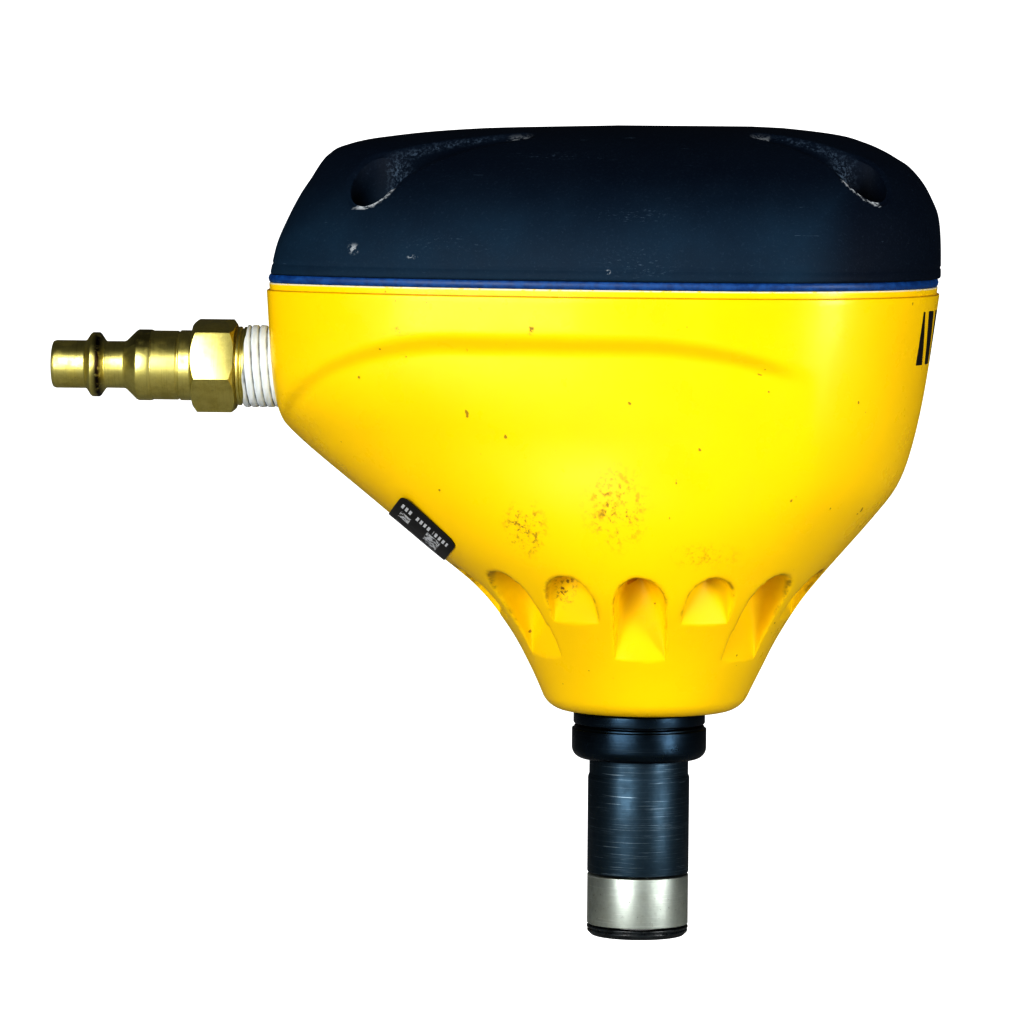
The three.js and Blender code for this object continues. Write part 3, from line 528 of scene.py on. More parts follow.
def makeLabelFinish():
    # plain dashes, rows and blocks stand for print, along and across the label
    look = Look("labelVinyl")
    along, across = look.axes(look.add("UVMap").outputs["UV"])[:2]
    step = look.repeat(along, labelLook["dashes"])
    wordGap = look.repeat(along, 3.1)
    dashes = look.times(look.band(step, 0.18, 0.8), look.band(wordGap, 0.0, 0.82))
    edges = look.highest(look.band(across, 0.045, 0.085), look.band(across, 0.915, 0.955))
    dashes = look.times(dashes, edges)
    dashes = look.times(dashes, look.band(along, 0.07, 0.93))
    rows = look.repeat(across, labelLook["rows"])
    lines = look.times(look.band(rows, 0.2, 0.62), look.band(across, 0.30, 0.72),
                       look.band(along, 0.12, 0.86))
    lines = look.times(lines, look.ramp(look.noise(1.4, 1.0), 0.46, 0.5))
    blocks = look.highest(look.times(look.band(along, 0.12, 0.30), look.band(across, 0.115, 0.20)),
                          look.times(look.band(along, 0.58, 0.82), look.band(across, 0.10, 0.25)))
    fill = look.ramp(look.noise(0.7, 2.0, 0.6, shift=3.0), 0.42, 0.5)
    ink = look.highest(dashes, lines, look.times(blocks, fill))
    look.feed("Base Color", look.mix(ink, labelLook["black"], labelLook["ink"]))
    look.feed("Roughness", labelLook["roughness"])
    look.bump((0.01, look.noise(2.5, 3.0)))
    return look.material


# two colours, blotch size, roughness, metallic, grain size and height, and flecks if any
plainFinishes = {
    "blueGasket": ((0.001, 0.040, 0.16), (0.003, 0.075, 0.26), 1.2, 0.5, 0.0, 0.5, 0.03),
    "endRingRubber": ((0.006, 0.008, 0.010), (0.02, 0.026, 0.03), 2.0, 0.28, 0.0, 0.8, 0.015,
                      (0.10, 0.10, 0.09)),
    "castAluminium": ((0.50, 0.51, 0.52), (0.36, 0.37, 0.38), 5.0, 0.5, 1.0, 0.7, 0.05),
    "sealRubber": ((0.012, 0.012, 0.013), (0.022, 0.022, 0.022), 2.0, 0.45, 0.0, 0.4, 0.01),
    "bumperRubber": ((0.035, 0.035, 0.04), (0.06, 0.06, 0.065), 4.0, 0.6, 0.0, 0.4, 0.03),
    "whitePolymer": ((0.66, 0.63, 0.55), (0.58, 0.54, 0.45), 5.0, 0.4, 0.0, 0.6, 0.01),
    "blackPolymer": ((0.02, 0.02, 0.022), (0.03, 0.03, 0.033), 5.0, 0.42, 0.0, 0.5, 0.02),
}
# colour, colour and strength of the turning lines, with the roughness between, shift, and flecks if any
turnedFinishes = {
    "blackOxideSteel": ((0.045, 0.078, 0.108), (0.26, 0.33, 0.38), 0.42, 0.6),
    "blackOxideCollar": ((0.026, 0.048, 0.072), (0.16, 0.22, 0.26), 0.3, 0.2, 7.0),
    "bareSteel": ((0.60, 0.66, 0.61), (0.82, 0.86, 0.83), 0.4, 0.5, 3.0, (0.10, 0.09, 0.07)),
    "magnetPlating": ((0.6, 0.6, 0.61), (0.75, 0.75, 0.75), 0.25, 0.3, 5.0),
    "cylinderSteel": ((0.45, 0.45, 0.46), (0.65, 0.65, 0.65), 0.28, 0.4, 9.0),
    "screwSteel": ((0.22, 0.22, 0.22), (0.6, 0.6, 0.58), 0.3, 0.4, 13.0),
    "bushBronze": ((0.55, 0.33, 0.15), (0.75, 0.5, 0.28), 0.32, 0.4, 15.0),
}
finishes = {
    "palmRubber": makePalmRubber(),
    "plugBrass": makeBrass(),
    "threadTape": makeTapeFinish(),
    "labelVinyl": makeLabelFinish(),
}
for finishName, values in plainFinishes.items():
    finishes[finishName] = makePlainFinish(finishName, *values)
for finishName, values in turnedFinishes.items():
    finishes[finishName] = makeTurnedSteel(finishName, *values)
print("finishes ready")


# modelling helpers

def deselectAll():
    bpy.ops.object.select_all(action="DESELECT")


def makeActive(piece):
    deselectAll()
    piece.select_set(True)
    bpy.context.view_layer.objects.active = piece


def enterEdit(everything=True):
    bpy.ops.object.mode_set(mode="EDIT")
    bpy.ops.mesh.select_mode(type="VERT")
    if everything:
        bpy.ops.mesh.select_all(action="SELECT")


def leaveEdit():
    bpy.ops.object.mode_set(mode="OBJECT")


def cleanMesh(piece, fillEnds=False):
    makeActive(piece)
    enterEdit()
    bpy.ops.mesh.remove_doubles(threshold=0.001 * mm)
    if fillEnds:
        bpy.ops.mesh.select_all(action="SELECT")
        bpy.ops.mesh.fill_holes(sides=0)
    bpy.ops.mesh.select_all(action="SELECT")
    bpy.ops.mesh.normals_make_consistent(inside=False)
    leaveEdit()


def applyModifier(piece, kind, **settings):
    makeActive(piece)
    modifier = piece.modifiers.new(kind.lower(), kind)
    for name, value in settings.items():
        setattr(modifier, name, value)
    bpy.ops.object.modifier_apply(modifier=modifier.name)


def bevelEdges(piece, width, segments, degrees):
    applyModifier(piece, "BEVEL", width=width * mm, segments=segments, limit_method="ANGLE",
                  angle_limit=radians(degrees))


def wrapGrid(name, columns, rows, placeOf, fillEnds=True):
    deselectAll()
    bpy.ops.mesh.primitive_grid_add(x_subdivisions=columns, y_subdivisions=rows - 1, size=1.0)
    piece = bpy.context.object
    piece.name = name
    for vertex in piece.data.vertices:
        row, column = divmod(vertex.index, columns + 1)
        vertex.co = Vector(placeOf(column / columns, row)) * mm
    cleanMesh(piece, fillEnds)
    return piece


def turnPiece(name, outline, sides=96, rounding=0.0, centre=(0.0, 0.0), alongX=None):
    # pairs of radius and height, or of radius and x where alongX gives the height of the axis
    if alongX is None:
        points = [Vector((centre[0] + radius, centre[1], level)) for radius, level in outline]
        middle, axis = Vector((*centre, 0.0)), (0.0, 0.0, 1.0)
    else:
        points = [Vector((level, 0.0, alongX + radius)) for radius, level in outline]
        middle, axis = Vector((0.0, 0.0, alongX)), (1.0, 0.0, 0.0)
    deselectAll()
    bpy.ops.mesh.primitive_plane_add(size=mm, location=(0.0, 0.0, 0.0))
    piece = bpy.context.object
    piece.name = name
    enterEdit()
    bpy.ops.mesh.merge(type="CENTER")
    bpy.ops.transform.translate(value=points[0] * mm)
    for before, after in zip(points, points[1:]):
        bpy.ops.mesh.extrude_vertices_move(TRANSFORM_OT_translate={"value": (after - before) * mm})
    bpy.ops.mesh.select_all(action="SELECT")
    bpy.ops.mesh.spin(steps=sides, angle=2 * pi, center=middle * mm, axis=axis)
    leaveEdit()
    cleanMesh(piece)
    if rounding:
        bevelEdges(piece, rounding, 3, 20)
    return piece


def addRod(name, radius, fromPoint, toPoint, sides=32):
    start, end = Vector(fromPoint) * mm, Vector(toPoint) * mm
    deselectAll()
    bpy.ops.mesh.primitive_cylinder_add(vertices=sides, radius=radius * mm, depth=(end - start).length)
    rod = bpy.context.object
    rod.name = name
    rod.rotation_mode = "QUATERNION"
    rod.rotation_quaternion = (end - start).to_track_quat("Z", "Y")
    rod.location = (start + end) / 2
    bpy.ops.object.transform_apply(location=True, rotation=True, scale=True)
    return rod


def joinAll(pieces):
    makeActive(pieces[0])
    for piece in pieces[1:]:
        piece.select_set(True)
    bpy.ops.object.join()
    return pieces[0]


def combine(piece, tool, operation="DIFFERENCE"):
    applyModifier(piece, "BOOLEAN", operation=operation, solver="EXACT", object=tool)
    bpy.data.objects.remove(tool)


def smoothShade(piece, degrees=40.0):
    makeActive(piece)
    bpy.ops.object.shade_smooth_by_angle(angle=radians(degrees))


def paintPoints(piece, name, shadeOf):
    layer = piece.data.attributes.new(name, "FLOAT", "POINT")
    for vertex in piece.data.vertices:
        layer.data[vertex.index].value = shadeOf(vertex)


def place(piece, finish, slot, node, body="tool_body"):
    piece.data.materials.clear()
    piece.data.materials.append(finishes[finish])
    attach(piece, body)
    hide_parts(node)


# levels and sizes read from the frame

bodyLow, bodyHigh = boxOf("housing")
padLow, padHigh = boxOf("palm_pad")
bodyBottom, bodyTop = bodyLow.z, bodyHigh.z
bodyHeight = bodyTop - bodyBottom
bodyFront, bodyRear, bodyHalfWidth = padHigh.x, -padLow.x, padHigh.y
capBase, capTop = padLow.z, 132.6
clearance = 0.3  # left between pieces that bear on each other
pocketPlaces = [centreOf(f"cap_screw_{index}")[:2] for index in range(1, 5)]
inletZ = centreOf("thread_tape")[2]


def smoothstep(value, low, high):
    share = min(1.0, max(0.0, (value - low) / (high - low)))
    return share * share * (3 - 2 * share)


def smoothTable(pairs):
    def slope(index):
        low, high = pairs[max(0, index - 1)], pairs[min(len(pairs) - 1, index + 1)]
        return (high[1] - low[1]) / (high[0] - low[0])

    def valueAt(position):
        index = 0
        while index < len(pairs) - 2 and position > pairs[index + 1][0]:
            index += 1
        (startX, startY), (endX, endY) = pairs[index], pairs[index + 1]
        span = endX - startX
        t = min(1.0, max(0.0, (position - startX) / span))
        return ((2 * t ** 3 - 3 * t ** 2 + 1) * startY + (t ** 3 - 2 * t ** 2 + t) * span * slope(index)
                + (3 * t ** 2 - 2 * t ** 3) * endY + (t ** 3 - t ** 2) * span * slope(index + 1))

    return valueAt


def ovalPoint(section, turn, inset=0.0):
    def bare(angleTurn):
        centre, half, power = section["centre"], section["half"], section["power"]
        reach = section["front"] - centre if cos(angleTurn) >= 0 else centre - section["rear"]
        angle = atan2(half * sin(angleTurn), reach * cos(angleTurn))
        along, across = cos(angle), sin(angle)
        oval = (abs(along / reach) ** power + abs(across / half) ** power) ** (-1 / power)
        flat = (centre - section["flat"]) / -along if along < -1e-6 else 1e6
        radius = (oval ** -40.0 + flat ** -40.0) ** (-1 / 40.0)
        return centre + radius * along, radius * across

    x, y = bare(turn)
    if not inset:
        return x, y
    (beforeX, beforeY), (afterX, afterY) = bare(turn - 0.004), bare(turn + 0.004)
    tangent = Vector((afterX - beforeX, afterY - beforeY)).normalized()
    return x - tangent.y * inset, y + tangent.x * inset


# body shell

bodyForm = {
    "columns": 264,
    "neckRadius": 16.5,
    "neckCentreX": 0.9,
    "widestX": 10.0,
    "neckRounding": 2.4,
    "rearTuck": 8.0,
    "inletDraft": 0.068,
    "wall": 3.8,
    "rimStep": 0.5,
    "rimStepHeight": 1.3,
    "gripRecess": 2.2,
    "gripBandHeight": 7.6,
    "collarBore": 10.3,
    "screwHole": 2.8,
}
flutes = {
    "count": 14,
    "width": 8.6,
    "top": 25.0,  # heights above the neck's bottom edge
    "longBottom": 10.3,
    "shortBottom": 16.8,
    "reach": 6.0,  # how far the cutters stand out of the skin
    "exhaustRadius": 1.5,
}
rimStepZ = bodyTop - bodyForm["rimStepHeight"]

frontShape = smoothTable([
    (0, 0), (0.09, 0.095), (0.18, 0.195), (0.28, 0.338), (0.46, 0.672),
    (0.53, 0.787), (0.61, 0.855), (0.75, 0.922), (1, 1),
])
rearShape = smoothTable([
    (0, 0), (0.1, 0.058), (0.195, 0.128), (0.29, 0.23), (0.38, 0.373),
    (0.473, 0.521), (0.633, 0.783), (0.722, 0.925), (0.8, 0.985), (1, 1),
])
sideShape = smoothTable([
    (0, 0), (0.1, 0.154), (0.19, 0.335), (0.3, 0.587), (0.43, 0.786), (0.54, 0.886), (0.7, 0.95), (1, 1),
])


def bodySection(z):
    share = (z - bodyBottom) / bodyHeight
    neckX, neck = bodyForm["neckCentreX"], bodyForm["neckRadius"]
    return {
        "centre": neckX + (bodyForm["widestX"] - neckX) * smoothstep(share, 0.3, 0.7),
        "front": neckX + neck + (bodyFront - neckX - neck) * frontShape(share),
        "rear": neckX - neck - (bodyRear + bodyForm["rearTuck"] + neckX - neck) * rearShape(share),
        "half": neck + (bodyHalfWidth - neck) * sideShape(share),
        "flat": -bodyRear + (bodyTop - z) * bodyForm["inletDraft"],
        "power": 2 + 0.2 * smoothstep(share, 0.4, 0.9),
    }


def recessAt(x, z):
    bandBottom = bodyTop - bodyForm["gripBandHeight"]
    turnX, turnHeight = -30.0, 16.0  # behind turnX the band's lower edge curves down
    rearRun = bodyRear - 3 + turnX
    rearDrop = turnHeight * (1 - sqrt(max(0.0, 1 - (min(0.0, x - turnX) / rearRun) ** 2)))
    frontDrop = 4 * (max(0.0, x) / 25) ** 2
    upper = smoothstep(bandBottom - rearDrop - frontDrop - z, 0, 3.5)
    lower = smoothstep(z, bodyTop - 46, bodyTop - 24)
    ahead = 1 - smoothstep(x, bodyFront - 30.9, bodyFront - 19.9)
    behind = smoothstep(x, -bodyRear + 1, -bodyRear + 6)
    return bodyForm["gripRecess"] * upper * lower * ahead * behind


def bodyPoint(turn, z, inset=0.0, recessed=True):
    x, y = ovalPoint(bodySection(z), turn, inset)
    if recessed:
        y = copysign(max(0.0, abs(y) - recessAt(x, z)), y)
    return x, y, z


def stepsBetween(low, high, count):
    return [low + (high - low) * index / count for index in range(count)]


def bodyRows():
    rounding = bodyForm["neckRounding"]
    rows = []
    for index in range(9):
        angle = pi / 2 * index / 9
        rows.append((bodyBottom + rounding * (1 - cos(angle)), rounding * (1 - sin(angle))))
    levels = stepsBetween(bodyBottom + rounding, bodyBottom + 28.0, 52)
    levels += stepsBetween(bodyBottom + 28.0, bodyTop - 26.0, 14)
    levels += stepsBetween(bodyTop - 26.0, bodyTop - 5.0, 36)
    levels += stepsBetween(bodyTop - 5.0, rimStepZ - 0.25, 4)
    rows += [(level, 0.0) for level in levels]
    step = bodyForm["rimStep"]
    rows += [(rimStepZ - 0.25, 0.0), (rimStepZ - 0.06, 0.05), (rimStepZ + 0.03, 0.2), (rimStepZ + 0.07, step)]
    rows += [(rimStepZ + 0.5, step), (bodyTop - 0.25, step)]
    rows += [(bodyTop - 0.06, step + 0.06), (bodyTop, step + 0.25)]
    return rows


def skinReach(angle, z):
    section = bodySection(z)
    along, across = cos(angle), sin(angle)
    reach = section["front"] - section["centre"] if along >= 0 else section["centre"] - section["rear"]
    power = section["power"]
    oval = (abs(along / reach) ** power + abs(across / section["half"]) ** power) ** (-1 / power)
    return oval + (section["centre"] - bodyForm["neckCentreX"]) * along


def fluteTool(index):
    angle = 2 * pi * index / flutes["count"] - pi / 2
    bottom = bodyBottom + (flutes["longBottom"] if index % 2 == 0 else flutes["shortBottom"])
    top = bodyBottom + flutes["top"]
    half = flutes["width"] / 2
    floor = bodySection(bottom)["half"]
    deepest = skinReach(angle, top) - floor
    archRows, straightRows, columns = 12, 22, 48
    levels = stepsBetween(bottom - 1.5, top - half, straightRows)
    levels += [top - half + half * sin(pi / 2 * step / archRows) * 0.999
               for step in range(archRows + 1)]

    def placeOf(share, row):
        z = levels[row]
        skin = skinReach(angle, z)
        depth = max(0.02, skin - floor)
        width = sqrt(half ** 2 - max(0.0, z - (top - half)) ** 2)
        power = 2.0 + 7.0 * max(0.0, 1 - depth / deepest) ** 2
        step = 2 * pi * share
        across = width * copysign(abs(cos(step)) ** (2 / power), cos(step))
        lift = copysign(abs(sin(step)) ** (2 / power), sin(step))
        out = skin + (depth if lift < 0 else flutes["reach"]) * lift - across ** 2 / (2 * skin)
        if skin < floor:
            out = max(out, floor)
        x = out * cos(angle) - across * sin(angle) + bodyForm["neckCentreX"]
        y = out * sin(angle) + across * cos(angle)
        return x, y, z

    return wrapGrid("fluteTool", columns, len(levels), placeOf)


def makeChamberTool(seatRadius, webBottom, seatTop, screwEnd):
    # the hollow inside, less the metal that stays round the cylinder, the screws and the inlet
    chamberFloor = bodyBottom + flutes["top"] + 9
    inset = bodyForm["wall"] + bodyForm["gripRecess"] / 2
    heights = stepsBetween(chamberFloor, bodyTop + 1.0, 8) + [bodyTop + 1.0]

    def placeOf(share, row):
        x, y, z = bodyPoint(2 * pi * share, heights[row] - 3.0, inset, False)
        return x, y, heights[row]

    chamber = wrapGrid("chamberTool", 96, len(heights), placeOf)
    combine(chamber, addRod("bossTool", seatRadius + 3.7, (0, 0, webBottom), (0, 0, seatTop), 64))
    postRadius = bodyForm["screwHole"] + 3
    combine(chamber, joinAll([addRod("post", postRadius, (x, y, screwEnd - 8), (x, y, bodyTop), 24)
                              for x, y in pocketPlaces]))
    inletRadius = boxOf("thread_tape")[1].y + clearance
    plugEnd = boxOf("air_plug")[1].x
    start, end = (-bodyRear, 0, inletZ), (plugEnd + 3, 0, inletZ)
    combine(chamber, addRod("inletBoss", inletRadius + 3.4, start, end, 48))
    return chamber


def makeBodyShell():
    rows = bodyRows()
    shell = wrapGrid("bodyShell", bodyForm["columns"], len(rows),
                     lambda share, row: bodyPoint(2 * pi * share, *rows[row]))
    print("  outer skin", len(shell.data.polygons), "faces")
    combine(shell, joinAll([fluteTool(index) for index in range(flutes["count"])]))
    print("  flutes cut")
    softenFlutes(shell)
    # painted shade and dirt for the flutes' ceilings and top corners
    paintPoints(shell, "grimeAndShade", grimeAndShadeAt)
    cylinderLow, cylinderHigh = boxOf("cylinder")
    webLow, webHigh = boxOf("driver_guide_bush")
    seatRadius, webRadius = cylinderHigh.x + clearance, webHigh.x + clearance
    screwEnd = boxOf("cap_screw_1")[0].z
    combine(shell, makeChamberTool(seatRadius, webLow.z, cylinderHigh.z + clearance, screwEnd))
    collar = bodyForm["collarBore"]
    bore = turnPiece("boreTool", [
        (0, bodyBottom - 1), (collar, bodyBottom - 1), (collar, webLow.z), (webRadius, webLow.z),
        (webRadius, webHigh.z), (seatRadius, webHigh.z), (seatRadius, bodyTop + 5), (0, bodyTop + 5),
    ], 64)
    combine(shell, bore)
    holes = [addRod("screwHole", bodyForm["screwHole"], (x, y, screwEnd - 1.5), (x, y, bodyTop + 1), 24)
             for x, y in pocketPlaces]
    combine(shell, joinAll(holes))
    inletRadius = boxOf("thread_tape")[1].y + clearance
    inletEnd = boxOf("air_plug")[1].x + 5
    combine(shell, addRod("inletHole", inletRadius, (-bodyRear - 10, 0, inletZ), (inletEnd, 0, inletZ), 64))
    holes = []
    inner, outer = 14.0, seatRadius + 9
    for index in range(0, flutes["count"], 2):
        angle = 2 * pi * index / flutes["count"] - pi / 2
        along, across = cos(angle), sin(angle)
        holes.append(addRod("exhaustHole", flutes["exhaustRadius"],
                            (inner * along, inner * across, cylinderLow.z + 12.5),
                            (outer * along, outer * across, bodyBottom + flutes["top"] - 2.5), 20))
    combine(shell, joinAll(holes))
    cleanMesh(shell)
    smoothShade(shell, 50.0)
    print("  body shell", len(shell.data.polygons), "faces")
    return shell


def softenFlutes(shell):
    # the cast edges of the flutes are slightly rounded, in a light pass and then a longer one
    low, top = bodyBottom + flutes["longBottom"] - 1, bodyBottom + flutes["top"]
    makeActive(shell)
    for part in (*shell.data.edges, *shell.data.polygons):
        part.select = False
    for high, repeat in ((top + 0.8, 2), (top - 6, 6)):
        for vertex in shell.data.vertices:
            vertex.select = low < vertex.co.z / mm < high
        enterEdit(False)
        bpy.ops.mesh.vertices_smooth(factor=0.5, repeat=repeat)
        leaveEdit()


def grimeAndShadeAt(vertex):
    # painted shade with some dirt darkens the flutes' downward-facing ceilings and their top corners
    x, y, z = vertex.co / mm
    top = bodyBottom + flutes["top"]
    if not top - 9 < z < top + 0.5:
        return 0.0
    away = Vector((x - bodyForm["neckCentreX"], y))
    depth = skinReach(atan2(away.y, away.x), z) - away.length
    edge = smoothstep(depth, 0.05, 0.3) * (1 - smoothstep(depth, 0.45, 1.5))
    return edge * smoothstep(vertex.normal.z, -0.1, -0.5)


shell = makeBodyShell()
finishes["yellowPaint"] = makeYellowPaint(bodyTop, rimStepZ, -bodyRear)
place(shell, "yellowPaint", "yellow_paint", "housing")
print("body shell ready")


# blue gasket

gasketForm = {"width": 4.5, "bulge": 0.12, "columns": 264}


def makeGasket():
    low, high = boxOf("cap_gasket")
    outer = bodyForm["rimStep"]
    inner = outer + gasketForm["width"]
    base, top = low.z - 0.2, high.z + 0.2
    profile = [
        (base, inner), (base, outer + 0.15), (base + 0.2, outer),
        ((base + top) / 2, outer - gasketForm["bulge"]),
        (top - 0.2, outer), (top, outer + 0.15), (top, inner), (base, inner),
    ]

    def placeOf(share, row):
        z, inset = profile[row]
        x, y = ovalPoint(bodySection(bodyTop), 2 * pi * share, inset)
        return x, y, z

    return wrapGrid("gasketBand", gasketForm["columns"], len(profile), placeOf, fillEnds=False)


gasket = makeGasket()
smoothShade(gasket, 50.0)
place(gasket, "blueGasket", "blue_gasket", "cap_gasket")
print("gasket ready")


# palm rubber

padForm = {
    "columns": 480,
    "rows": 150,
    "height": 25.6,
    "thickness": 3.0,
    "rearTuck": 8.0,
    "widestX": 10.0,
    "lipHeight": 1.8,
    "lipDepth": 0.12,
    "pocketRadius": 4.7,
    "pocketLip": 0.6,
    "channelRadius": 4.2,
    "channelEndRadius": 1.9,
    "channelDepth": 1.7,
    "rearChannelRun": 24.2,
    "frontChannelRun": 17.0,
    "channelDrift": 6.2,
    "scoopDepth": 3.4,
    "sleeve": 0.38,  # thin rubber sleeves line the wells round the screw heads
    "sleeveGap": 0.13,
}
screwForm = {"headRadius": 4.25, "shankRadius": 2.5, "headHeight": 5.0, "socketRadius": 2.3,
             "socketDepth": 2.5, "knurlDepth": 0.045}
padRear = smoothTable([
    (0, 0.991), (0.2, 0.979), (0.36, 0.959), (0.523, 0.934), (0.633, 0.912), (0.738, 0.892), (0.793, 0.876),
    (0.848, 0.845), (0.91, 0.75), (0.973, 0.52), (1, 0.2),
])
padFront = smoothTable([
    (0, 1), (0.26, 0.997), (0.42, 0.985), (0.527, 0.958), (0.637, 0.919), (0.742, 0.86), (0.793, 0.811),
    (0.848, 0.75), (0.9, 0.672), (0.949, 0.56), (0.99, 0.34), (1, 0.2),
])


def padSection(share, reduce=0.0):
    middle = padForm["widestX"]
    rear = middle - (bodyRear + middle - reduce) * padRear(share)
    return {
        "centre": middle,
        "front": middle + (bodyFront - middle - reduce) * padFront(share),
        "rear": rear - padForm["rearTuck"] * (1 - share) ** 1.2,
        "half": (bodyHalfWidth - reduce) * sqrt(max(0.0, 1 - share ** 2)),
        "flat": rear,
        "power": 2 + 0.2 * (1 - share),
    }


def channelAt(x, y, spot):
    # how far along the channel a place is, how far beside it, and the channel's half width there
    run = padForm["rearChannelRun"] if spot[0] < 0 else -padForm["frontChannelRun"]
    start = Vector(spot)
    end = Vector((spot[0] + run, spot[1] - copysign(padForm["channelDrift"], spot[1])))
    along = end - start
    share = max(0.0, min(1.0, (Vector((x, y)) - start).dot(along) / along.length_squared))
    beside = (Vector((x, y)) - start - along * share).length
    wide, narrow = padForm["channelRadius"], padForm["channelEndRadius"]
    radius = wide + (narrow - wide) * share ** 0.8
    return share, beside, radius, along.length


def padDrop(x, y):
    drop, rubbedAndLit, bright = 0.0, 0.0, 0.0
    for spot in pocketPlaces:
        if abs(x - spot[0]) > 36 or abs(y - spot[1]) > 14:
            continue
        share, beside, radius, length = channelAt(x, y, spot)
        scoop = padForm["scoopDepth"] * exp(-max(0.0, share * length - padForm["pocketRadius"] * 0.7) / 2.2)
        depth = padForm["channelDepth"] * (1 - 0.45 * share) + scoop
        if beside < radius:
            drop = max(drop, depth * (1 - (beside / radius) ** 2) ** 0.75)
        away = hypot(x - spot[0], y - spot[1])
        lip = padForm["pocketRadius"] + padForm["pocketLip"] - away
        if lip > 0:
            drop = max(drop, 0.5 * min(1.0, lip / padForm["pocketLip"]) ** 2)
        # lighter channel edges, partly wear and partly a painted highlight, stronger on the -Y side that
        # faces the light
        edge = 1 - min(1.0, abs(beside - radius * 0.78) / (radius * 0.3))
        nearSide = 1.0 if y < spot[1] else 0.55
        if share > 0.08:
            rubbedAndLit = max(rubbedAndLit, 0.8 * edge * nearSide * (1 - smoothstep(share, 0.75, 1.0)))
        # the scoop next to each well gets a lighter patch, wear with a painted highlight
        run = share * length
        if 0 < run < 6.5 and beside < radius:
            patch = smoothstep(run, 0.0, 2.5) * (1 - smoothstep(run, 3.5, 7.5))
            rubbedAndLit = max(rubbedAndLit, 0.75 * patch * (1 - (beside / radius) ** 4))
        outward = (y - spot[1]) * copysign(1.0, spot[1])
        if screwForm["headRadius"] < away < padForm["pocketRadius"] + 0.5 and outward > 0.75 * away:
            bright = 1.0  # the torn lower lip of the pocket
        if share > 0.93 and beside < radius:
            bright = max(bright, 0.75 * (1 - beside / radius))
    return drop, rubbedAndLit, bright


def padRows():
    # share of the height, and how far the edge is drawn in
    lip = padForm["lipHeight"] / padForm["height"]
    groove = padForm["lipDepth"]
    rows = [(0.0, 0.45), (0.002, 0.2), (0.008, 0.05), (0.02, 0.0), (lip - 0.012, 0.0), (lip - 0.006, groove),
            (lip + 0.004, groove), (lip + 0.014, 0.0)]
    start, end = asin(lip + 0.03), radians(89.0)
    count = padForm["rows"] - len(rows)
    rows += [(sin(start + (end - start) * index / (count - 1)), 0.0) for index in range(count)]
    return rows


def makePalmRubberPiece():
    rows = padRows()

    def placeOf(share, row):
        level, inset = rows[row]
        x, y = ovalPoint(padSection(level), 2 * pi * share, inset)
        return x, y, capBase + level * padForm["height"] - padDrop(x, y)[0]

    pad = wrapGrid("palmRubber", padForm["columns"], len(rows), placeOf)
    innerHeight = padForm["height"] - padForm["thickness"]
    shares = [0.0, 0.2, 0.4, 0.55, 0.7, 0.8, 0.88, 0.94, 0.98]

    def innerPlace(share, row):
        level = shares[row]
        x, y = ovalPoint(padSection(level, padForm["thickness"]), 2 * pi * share)
        return x, y, capBase + level * innerHeight - (1.0 if row == 0 else 0.0)

    inner = wrapGrid("innerTool", 96, len(shares), innerPlace)
    sleeveFoot = boxOf("cap_screw_1")[1].z - screwForm["headHeight"]
    outer = screwForm["headRadius"] + padForm["sleeve"]
    sleeves = [addRod("sleeve", outer, (x, y, sleeveFoot), (x, y, capTop), 64) for x, y in pocketPlaces]
    combine(inner, joinAll(sleeves))
    combine(pad, inner)
    bore = screwForm["headRadius"] + padForm["sleeveGap"]
    wells = [addRod("well", bore, (x, y, sleeveFoot - 1), (x, y, capTop + 5), 64) for x, y in pocketPlaces]
    combine(pad, joinAll(wells))
    cleanMesh(pad)
    for number, name in ((1, "rubbedAndLit"), (2, "bright")):
        paintPoints(pad, name, lambda vertex: padDrop(vertex.co.x / mm, vertex.co.y / mm)[number])
    smoothShade(pad, 42.0)
    print("  palm rubber", len(pad.data.polygons), "faces")
    return pad


place(makePalmRubberPiece(), "palmRubber", "black_rubber", "palm_pad")
print("palm rubber ready")


# cap screws

def makeScrews():
    low, high = boxOf("cap_screw_1")
    x, y = pocketPlaces[0]
    head, shank = screwForm["headRadius"], screwForm["shankRadius"]
    top, bottom = high.z, low.z
    under = top - screwForm["headHeight"]
    first = turnPiece("capScrew1", [
        (0, bottom), (shank - 0.7, bottom), (shank, bottom + 0.7), (shank, under), (head, under),
        (head, under + 0.6), (head, top - 0.5), (head - 0.5, top), (0, top),
    ], 72, centre=(x, y))
    for vertex in first.data.vertices:
        away = Vector((vertex.co.x / mm - x, vertex.co.y / mm - y))
        turn = round(atan2(away.y, away.x) / (2 * pi) * 72)
        if away.length > head - 0.1 and under + 0.5 < vertex.co.z / mm < top - 0.3 and turn % 2:
            vertex.co.x -= away.x * screwForm["knurlDepth"] * mm
            vertex.co.y -= away.y * screwForm["knurlDepth"] * mm
    floor = top - screwForm["socketDepth"]
    combine(first, addRod("socket", screwForm["socketRadius"], (x, y, floor), (x, y, top + 1), 6))
    smoothShade(first, 30.0)
    screws = [first]
    for index, (otherX, otherY) in enumerate(pocketPlaces[1:], 2):
        screw = first.copy()
        screw.data = first.data.copy()
        screw.name = f"capScrew{index}"
        bpy.context.scene.collection.objects.link(screw)
        for vertex in screw.data.vertices:
            vertex.co.x += (otherX - x) * mm
            vertex.co.y += (otherY - y) * mm
        screws.append(screw)
    return screws


for number, screw in enumerate(makeScrews(), 1):
    place(screw, "screwSteel", "black_oxide_steel", f"cap_screw_{number}")
print("cap screws ready")


# nose

noseForm = {"barrel": 8.75, "passage": 5.3, "mouth": 6.6, "collar": 11.6, "neck": 10.0, "lockInner": 10.3,
            "collarInner": 9.05, "collarRise": 0.7, "collarHeight": 6.4, "collarRounding": 1.9,
            "relief": 0.22}


